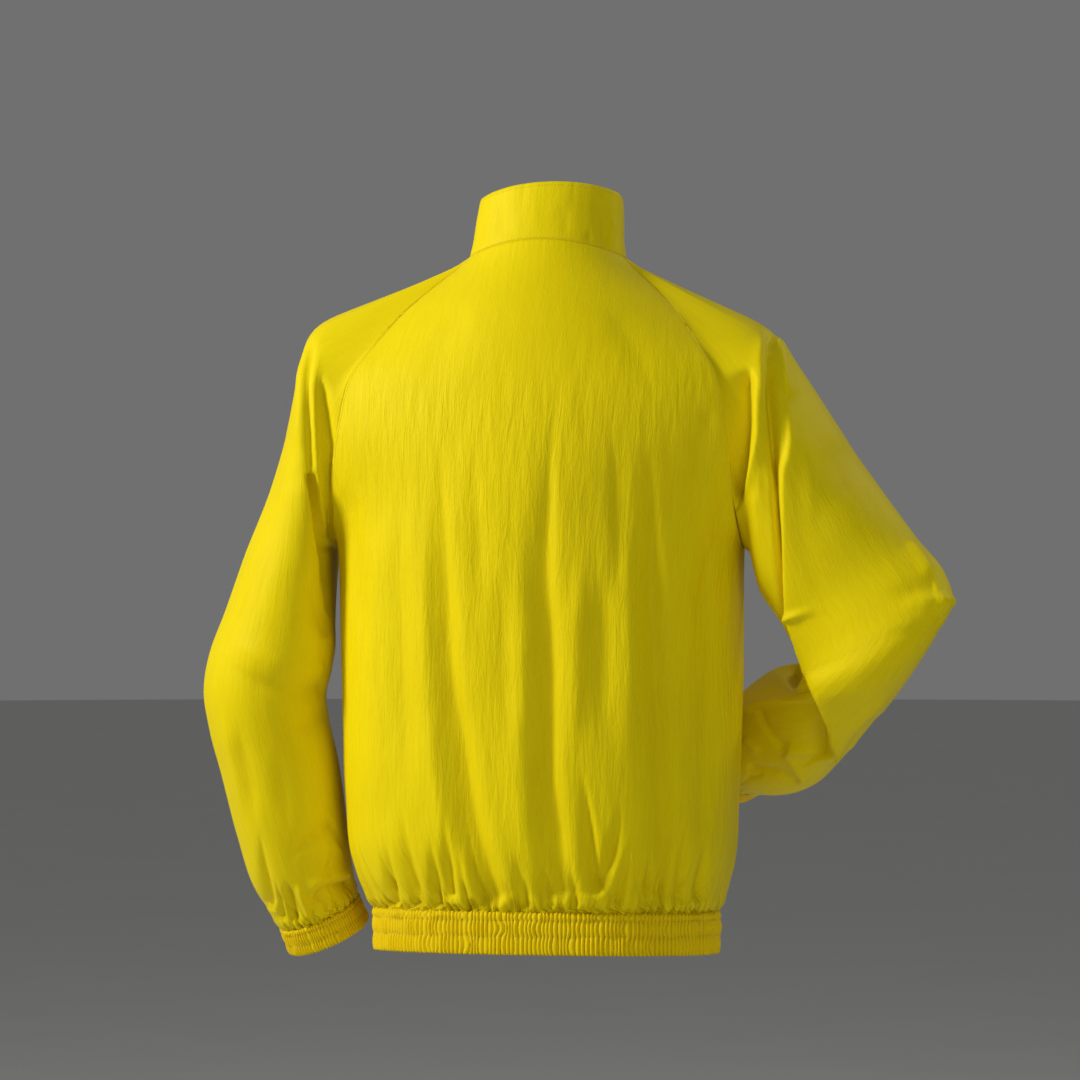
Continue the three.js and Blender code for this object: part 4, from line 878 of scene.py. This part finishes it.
def painted_shade_of(shown, tucks):
    """How deep each point lies in a fold or a tuck, from 0 to 0.5, for painted shade that darkens the colour.
    """
    return np.clip(0.014 * np.clip(-shown, 0, 12) + 0.09 * np.clip(-tucks, 0, 4), 0, 0.5)


def neck_fill(grid, line):
    """A soft rise beside the neck seam, which turns the cloth up into the collar."""
    away = np.linalg.norm(grid[:, :, None] - line[None, None, ::6], axis=-1).min(axis=-1)
    return NECK_RISE * np.exp(-((away / NECK_REACH) ** 2))


def armhole(side):
    back, front, neck = raglan_seam(RAGLAN_BACK, side), raglan_seam(RAGLAN_FRONT, side), neck_side(side)
    return np.vstack([back[:-1], neck[:-1], front[:0:-1]])


def ring_points(rings, i):
    top, foot, back = rings["top"][i], rings["foot"][i], rings["back"][i]
    angle = math.pi - 2 * math.pi * np.arange(SLEEVE_COLUMNS) / SLEEVE_COLUMNS
    power = 2 / rings["square"][i]
    rise = np.sign(np.cos(angle)) * np.abs(np.cos(angle)) ** power
    out = np.sign(np.sin(angle)) * np.abs(np.sin(angle)) ** power
    front = back * rings["front"][i] / np.linalg.norm(back)
    centre = (top + foot) / 2
    reach = np.where(out[:, None] > 0, back[None], front[None])
    return centre + rise[:, None] * (top - centre) + out[:, None] * reach


def sleeve_grid(rings, side, row_count):
    """Rows from the cuff seam to the armhole; columns such that the cloth faces out."""
    lines = np.array([armhole(side)] + [ring_points(rings, i) for i in range(len(rings["square"]))])
    gaps = np.linalg.norm(np.diff(lines, axis=0), axis=-1).mean(axis=1)
    keys = np.concatenate([[0], np.cumsum(gaps)])
    t = np.linspace(0, keys[-1], row_count + 1)
    grid = smooth(keys[1:], lines[1:], np.maximum(t, keys[1]))
    first = t < keys[1]
    share = (t[first] / keys[1])[:, None, None]
    grid[first] = lines[0] * (1 - share) + lines[1] * share
    relaxed(grid, first.sum(), first.sum() / 2, 16)
    if side > 0:
        grid = np.concatenate([grid[:, :1], grid[:, :0:-1]], axis=1)
    return grid[::-1].copy()


def sleeve_relief(grid, fold_sets, seed, neck):
    """Heights over a sleeve: folds, cuff gathers, seams and crinkles."""
    u, v = cloth_places(grid)
    fade = seam_fade(grid, ["top"], 8.0)
    edge = seam_fade(grid, ["top"], SEAM_EDGE)
    folds_here = folded(grid, True, fold_sets)
    cuff_place = along(grid[0])
    tucks = gathers(cuff_place[None] + np.zeros_like(v), v, cuff_place[-1], seed, *CUFF_GATHERS)
    puff = puffed(v, *CUFF_PUFF)
    fine = crinkles(u, v, 0.06 + 0.2 * crushed(grid) * step_up(v, 4, 30), seed)
    rise = neck_fill(grid, neck)
    seam_dip = SEAM_DIP * (1 - edge) * (1 - rise / NECK_RISE)
    shown = fade * step_up(v, -8, 4) * folds_here
    # The second value is how deep each point lies in folds and tucks, for painted shade
    return shown + edge * (tucks + fine) + puff - seam_dip + rise, painted_shade_of(shown, tucks)


def raised(grid, closed, height):
    return grid + normals_of(grid, closed) * height[..., None]


def rib_relief(place, share, ribs, length, rows_of_sewing, depth, seed):
    """Ribs of a gathered band: uneven, pinched in at each row of sewing, fanning between the rows."""
    chance = np.random.default_rng(seed)
    edges = [0.0, *rows_of_sewing, 1.0]
    turn = place / length * ribs
    knots = np.linspace(0, length, ribs // 2)
    drift = np.interp(place, knots, chance.normal(0, 0.25, ribs // 2))
    found = np.zeros(np.broadcast(place, share).shape)
    for low, high in zip(edges[:-1], edges[1:]):
        inside = (share >= low) & (share <= high)
        t = np.clip((share - low) / (high - low), 0, 1)
        wander = np.interp(place, knots, chance.normal(0.1, 0.3, ribs // 2))
        tall = np.interp(place, knots, chance.uniform(0.5, 1.3, ribs // 2))
        phase = turn + drift + wander * np.sin(math.pi * t)
        rib = np.abs(np.sin(math.pi * phase)) ** 0.8
        swell = np.sin(math.pi * t) ** 0.5
        found += inside * (depth * tall * rib * (0.72 + 0.28 * swell) + 0.6 * swell)
    return found


def band(line, closed, down, ribs, rows_of_sewing, depth, height, rows, seed):
    """A gathered band below a seam line, as a grid from its foot to the seam."""
    length = along(np.vstack([line, line[:1]]) if closed else line)[-1]
    place = along(line)[None]
    share = np.linspace(1, 0, rows + 1)[:, None]
    grid = line[None] + share[..., None] * down * height
    grid[-1] -= down * (BAND_LAP + 0.7 * np.sin(0.9 * place[0]) * np.sin(0.37 * place[0]))[:, None]
    rise = rib_relief(place, share, ribs, length, rows_of_sewing, depth, seed)
    # With the grid goes how deep each point lies between ribs, for painted shade
    return raised(grid, closed, rise), 1 - step_up(rise, 0.12 * depth, 0.62 * depth)


def cuff_axis(sleeve):
    """Direction out of a sleeve at its cuff."""
    rim = sleeve[0]
    quarter = len(rim) // 4
    axis = np.cross(rim[0] - rim[2 * quarter], rim[quarter] - rim[3 * quarter])
    axis /= np.linalg.norm(axis)
    return axis if axis @ (sleeve[0, 0] - sleeve[2, 0]) >= 0 else -axis


def hem_line():
    """The seam of hem band and body, from the left end of the zip round to the right end."""
    front, back = ({name: values[:1] for name, values in body_rows(facing).items()} for facing in (-1, 1))
    share = np.linspace(0, 1, FINE_STEPS)
    parts = [
        body_points(front, 1, share, ZIP_OPENING)[0],
        body_points(back, 1, share[::-1], 0)[0],
        body_points(back, -1, share, 0)[0],
        body_points(front, -1, share[::-1], ZIP_OPENING)[0],
    ]
    line = evenly(np.vstack(parts), HEM_RIBS * COLUMNS_PER_RIB)
    line[:, 2] = HEM_TOP_Z + HEM_TILT * line[:, 1]
    return line


# Panels
back_base = back_grid()
left_base = front_grid(1)
right_base = front_grid(-1)
left_length = along(left_base[0])
back_length = along(back_base[0])
right_length = along(right_base[0])
hem_total = left_length[-1] + back_length[-1] + right_length[-1]
panels = {
    "back": (back_base, BACK_FOLDS, left_length[-1] + back_length),
    "front_left": (left_base, FRONT_FOLDS, left_length),
    "front_right": (right_base, FRONT_FOLDS, left_length[-1] + back_length[-1] + right_length),
}
grids = {}
for name, (base, fold_set, seam_place) in panels.items():
    # The second value is the depth in folds and tucks that the material paints as shade
    rise, painted_shade = body_relief(base, fold_set, seam_place, hem_total, 3)
    grids[name] = raised(base, False, rise)
    cloth_piece(
        name, grids[name], False, CLOTH_THICKNESS, shell_nylon, True, painted_shade_depth=painted_shade)

# Sleeves and cuffs
sleeves = {
    "left": (LEFT_RINGS, 1, LEFT_SLEEVE_ROWS, LEFT_SLEEVE_FOLDS, LEFT_HIDDEN_FOLDS, 11),
    "right": (RIGHT_RINGS, -1, RIGHT_SLEEVE_ROWS, RIGHT_SLEEVE_FOLDS, RIGHT_HIDDEN_FOLDS, 23),
}
for name, (rings, side, row_count, shown, hidden, seed) in sleeves.items():
    base = sleeve_grid(rings, side, row_count)
    # Sleeves and cuffs carry their depth in folds and between ribs, for painted shade
    rise, painted_shade = sleeve_relief(base, [(1, shown), (-1, hidden)], seed, neck_side(side))
    cloth_piece(
        f"sleeve_{name}", raised(base, True, rise), True, CLOTH_THICKNESS, shell_nylon,
        True, SLEEVE_CRUSH, painted_shade)
    rim = base[0]
    line = evenly(np.vstack([rim, rim[:1]]), CUFF_RIBS * COLUMNS_PER_RIB)[:-1]
    cuff, painted_shade_depth = band(
        line, True, cuff_axis(base), CUFF_RIBS, CUFF_SEWING, CUFF_RIB_DEPTH, CUFF_HEIGHT, CUFF_ROWS, seed + 1)
    grids[f"cuff_{name}"] = cuff
    cloth_piece(
        f"cuff_{name}", cuff, True, DOUBLE_THICKNESS, band_nylon_painted_bounce, painted_shade_depth=painted_shade_depth)

# Hem band
hem_up = np.array([0.0, -HEM_TILT, 1.0]) / math.hypot(HEM_TILT, 1.0)
# The band carries its depth between ribs, for painted shade
hem, painted_shade_depth = band(
    hem_line(), False, -hem_up, HEM_RIBS, HEM_SEWING, HEM_RIB_DEPTH, HEM_HEIGHT, HEM_BAND_ROWS, 5)
cloth_piece(
    "hem_band", hem, False, DOUBLE_THICKNESS, band_nylon_painted_bounce, painted_shade_depth=painted_shade_depth)


# Collar
def collar_grid():
    seam = np.vstack([
        left_base[-1][:-1], neck_side(1)[::-1][:-1], back_base[-1][:-1], neck_side(-1)[:-1], right_base[-1]])
    middle = look_up(MIDDLE_LINE, "x", seam[:, 2])
    z = look_up(COLLAR_TOP, "z", seam[:, 1]) - look_up(COLLAR_TOP, "dip", seam[:, 1]) * (seam[:, 0] - middle)
    x = look_up(MIDDLE_LINE, "x", z) + (seam[:, 0] - middle) * COLLAR_TOP_WIDTH
    top = np.stack([x, seam[:, 1] + look_up(COLLAR_TOP, "lean", seam[:, 1]), z], 1)
    share = np.linspace(0, 1, COLLAR_ROWS + 1)[:, None, None]
    grid = seam[None] * (1 - share) + top[None] * share
    for _ in range(COLLAR_ROUNDS):
        middle = (grid[:, :-2] + grid[:, 2:]) / 2
        grid[:, 1:-1] += 0.5 * step_up(share, 0, 0.6) * (middle - grid[:, 1:-1])
    return grid


def collar_relief(grid):
    """Heights over the collar: its bulge, folds, the turn into the neck seam, and crinkles."""
    u, v = cloth_places(grid)
    share = v / v[-1:]
    rise = COLLAR_BULGE * np.sin(math.pi * share)
    rise += step_up(share, 0, 0.2) * folded(grid, False, [(1, COLLAR_FOLDS)])
    rise += COLLAR_FOOT_RISE * np.exp(-((v / NECK_REACH) ** 2))
    return rise + crinkles(u, v, 0.5 * step_up(share, 0, 0.3), 41)


collar_base = collar_grid()
grids["collar"] = raised(collar_base, False, collar_relief(collar_base))
cloth_piece("collar", grids["collar"], False, DOUBLE_THICKNESS, shell_nylon)

# Zip
lacquer = lacquered_metal()
finishes = {
    "zip_tape_left": woven_tape(),
    "zip_tape_right": woven_tape(),
    "zip_slider": lacquer,
    "zip_pull": lacquer,
    "zip_retainer": lacquer,
}
for name, finish in finishes.items():
    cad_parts[name].data.materials.clear()
    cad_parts[name].data.materials.append(finish)


# Sewing and zip coil
def bar(sides, rings, size):
    """A small round bar with tapered ends, along X, as points and faces: the form that is copied."""
    length, width, height = size
    bpy.ops.object.select_all(action="DESELECT")
    bpy.ops.mesh.primitive_uv_sphere_add(segments=sides, ring_count=rings, radius=length / 2 * MM)
    bpy.ops.object.mode_set(mode="EDIT")
    bpy.ops.mesh.select_all(action="SELECT")
    bpy.ops.transform.rotate(value=math.pi / 2, orient_axis="Y")
    bpy.ops.transform.resize(value=(1.0, width / length, height / length))
    bpy.ops.object.mode_set(mode="OBJECT")
    form = bpy.context.active_object
    points = np.array([corner.co for corner in form.data.vertices]) / MM
    faces = [tuple(face.vertices) for face in form.data.polygons]
    bpy.data.objects.remove(form)
    return points, faces


def copied(name, form, places, along_x, outward, lift, material):
    """Copies of a small form as one piece: at each place, its length along one direction."""
    points, faces = form
    x = along_x / np.linalg.norm(along_x, axis=1, keepdims=True)
    y = np.cross(outward, x)
    y /= np.linalg.norm(y, axis=1, keepdims=True)
    z = np.cross(x, y)
    turned = places[:, None] + points[None, :, :1] * x[:, None] + points[None, :, 1:2] * y[:, None]
    turned = turned + (points[None, :, 2:] + lift) * z[:, None]
    every = [tuple(corner + i * len(points) for corner in face) for i in range(len(places)) for face in faces]
    mesh = bpy.data.meshes.new(name)
    mesh.from_pydata((turned.reshape(-1, 3) * MM).tolist(), [], every)
    mesh.polygons.foreach_set("use_smooth", np.ones(len(every), bool))
    mesh.materials.append(material)
    piece = bpy.data.objects.new(name, mesh)
    bpy.context.scene.collection.objects.link(piece)
    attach(piece, "jacket")
    return piece


def inset(grid, edge, distance):
    """A line on a grid at a distance in from one of its edges, with the outward direction along it."""
    both = np.concatenate([grid, normals_of(grid, False)], axis=-1)
    if edge in ("top", "foot"):
        both = both.swapaxes(0, 1)
    if edge in ("top", "right"):
        both = both[:, ::-1]
    return np.array([[np.interp(distance, along(row[:, :3]), row[:, k]) for k in range(6)] for row in both])


def row_of(grid, share):
    """A line along a band at a share of its height from the top, with the outward direction along it."""
    place = (1 - share) * (len(grid) - 1)
    low = int(place)
    both = np.concatenate([grid, normals_of(grid, False)], axis=-1)
    return both[low] + (both[low + 1] - both[low]) * (place - low)


def sewn(name, lines):
    """Rows of stitches along lines on the cloth."""
    places, ahead = [], []
    for line in lines:
        steps = np.arange(STITCH_PITCH, along(line[:, :3])[-1] - STITCH_PITCH / 2, STITCH_PITCH)
        ends = [placed(line, steps + way * STITCH_SIZE[0] / 2)[:, :3] for way in (-1, 1)]
        places.append(placed(line, steps))
        ahead.append(ends[1] - ends[0])
    places = np.vstack(places)
    return copied(
        name, stitch, places[:, :3], np.vstack(ahead), places[:, 3:], STITCH_LIFT, thread)


stitch = bar(5, 3, STITCH_SIZE)
low = LOW_ROWS + 2
side_rows = len(grids["back"]) - 3
raglan_lines = [
    inset(grids["back"][low:side_rows], "left", SEAM_INSET),
    inset(grids["back"][low:side_rows], "right", SEAM_INSET),
    inset(grids["front_left"][low:side_rows], "right", SEAM_INSET),
    inset(grids["front_right"][low:side_rows], "left", SEAM_INSET),
]
zip_lines = [
    inset(grids["front_left"], "left", EDGE_INSET),
    inset(grids["front_right"], "right", EDGE_INSET),
    inset(grids["collar"], "left", EDGE_INSET),
    inset(grids["collar"], "right", EDGE_INSET),
]
collar_lines = [
    inset(grids["collar"], "top", EDGE_INSET),
    inset(grids["collar"], "foot", SEAM_INSET),
]
sewing = {
    "raglan": sewn("raglan_stitches", raglan_lines),
    "zip": sewn("zip_stitches", zip_lines),
    "collar": sewn("collar_stitches", collar_lines),
    "hem": sewn("hem_stitches", [row_of(hem, share) for share in HEM_SEWING]),
}
for name in sleeves:
    cuff = grids[f"cuff_{name}"]
    wrapped = np.concatenate([cuff, cuff[:, :1]], axis=1)
    rows = [row_of(wrapped, share) for share in CUFF_SEWING]
    sewing[f"cuff_{name}"] = sewn(f"cuff_{name}_stitches", rows)

coil = uneven(
    "zip_coil", {"Specular IOR Level": 0.5}, 500.0, 1.0,
    (0.66, 0.48, 0.006, 1.0), (0.86, 0.66, 0.012, 1.0), 0.35, 0.15)
coil_form = bar(6, 4, COIL_SIZE)
for name, base, column, side in (("left", left_base, 0, 1), ("right", right_base, -1, -1)):
    foot = base[0, column] - hem_up * HEM_HEIGHT
    line = np.vstack([foot, base[:, column], collar_base[1:, column]])
    outward = np.gradient(line, axis=0)
    outward = np.stack([np.zeros(len(line)), -outward[:, 2], outward[:, 1]], 1)
    outward /= np.linalg.norm(outward, axis=1, keepdims=True)
    line = line - outward * COIL_DEPTH
    line[:, 0] -= side * (ZIP_OPENING - COIL_OFFSET)
    steps = np.arange(COIL_PITCH * (1.5 if side > 0 else 2.0), along(line)[-1] - COIL_PITCH, COIL_PITCH)
    both = placed(np.hstack([line, outward]), steps)
    across = np.tile([1.0, 0.0, 0.0], (len(steps), 1))
    copied(f"zip_coil_{name}", coil_form, both[:, :3], across, both[:, 3:], 0, coil)


# Camera, floor and light
SENSOR_WIDTH = 36
FLOOR_RADIUS = 24
FLOOR_Z = -1.45


def aimed(thing, place, target):
    thing.location = place
    thing.rotation_euler = (Vector(target) - Vector(place)).to_track_quat("-Z", "Y").to_euler()


def soft_light(name, place, size, power, tint):
    bpy.ops.object.light_add(type="AREA")
    lamp = bpy.context.active_object
    lamp.name = name
    lamp.data.shape = "DISK"
    lamp.data.size = size
    lamp.data.energy = power
    lamp.data.color = tint
    aimed(lamp, place, VIEW_CENTRE * MM)


def studio():
    centre = Vector(VIEW_CENTRE * MM)
    bpy.ops.object.select_all(action="DESELECT")
    bpy.ops.object.camera_add()
    camera = bpy.context.active_object
    aimed(camera, centre + Vector(TO_CAMERA) * VIEW_DISTANCE * MM, centre)
    camera.data.sensor_width = SENSOR_WIDTH
    camera.data.lens = SENSOR_WIDTH * VIEW_DISTANCE / VIEW_WIDTH
    camera.data.dof.use_dof = False
    bpy.context.scene.camera = camera
    bpy.ops.mesh.primitive_circle_add(
        vertices=96, radius=FLOOR_RADIUS, fill_type="NGON", location=(0, 0, FLOOR_Z))
    floor = bpy.context.active_object
    floor.name = "studio_floor"
    floor.data.materials.append(uneven(
        "pale_floor", {"Specular IOR Level": 0.1}, 3.0, 2.0,
        (0.66, 0.66, 0.65, 1.0), (0.70, 0.70, 0.69, 1.0), 0.8, 0.1))
    world = bpy.data.worlds.new("studio")
    world.use_nodes = True
    world.node_tree.nodes["Background"].inputs["Color"].default_value = (0.80, 0.81, 0.80, 1.0)
    world.node_tree.nodes["Background"].inputs["Strength"].default_value = 0.2
    bpy.context.scene.world = world
    bpy.context.scene.view_settings.view_transform = "Standard"
    soft_light("key_light", (2.4, 1.2, 1.05), 0.8, 77, (1.0, 0.97, 0.93))
    soft_light("fill_light", (-1.6, 3.3, 0.4), 1.6, 25, (0.97, 1.0, 0.94))
    soft_light("edge_light", (-1.9, -1.5, 1.5), 0.6, 13, (1.0, 0.94, 0.6))


studio()
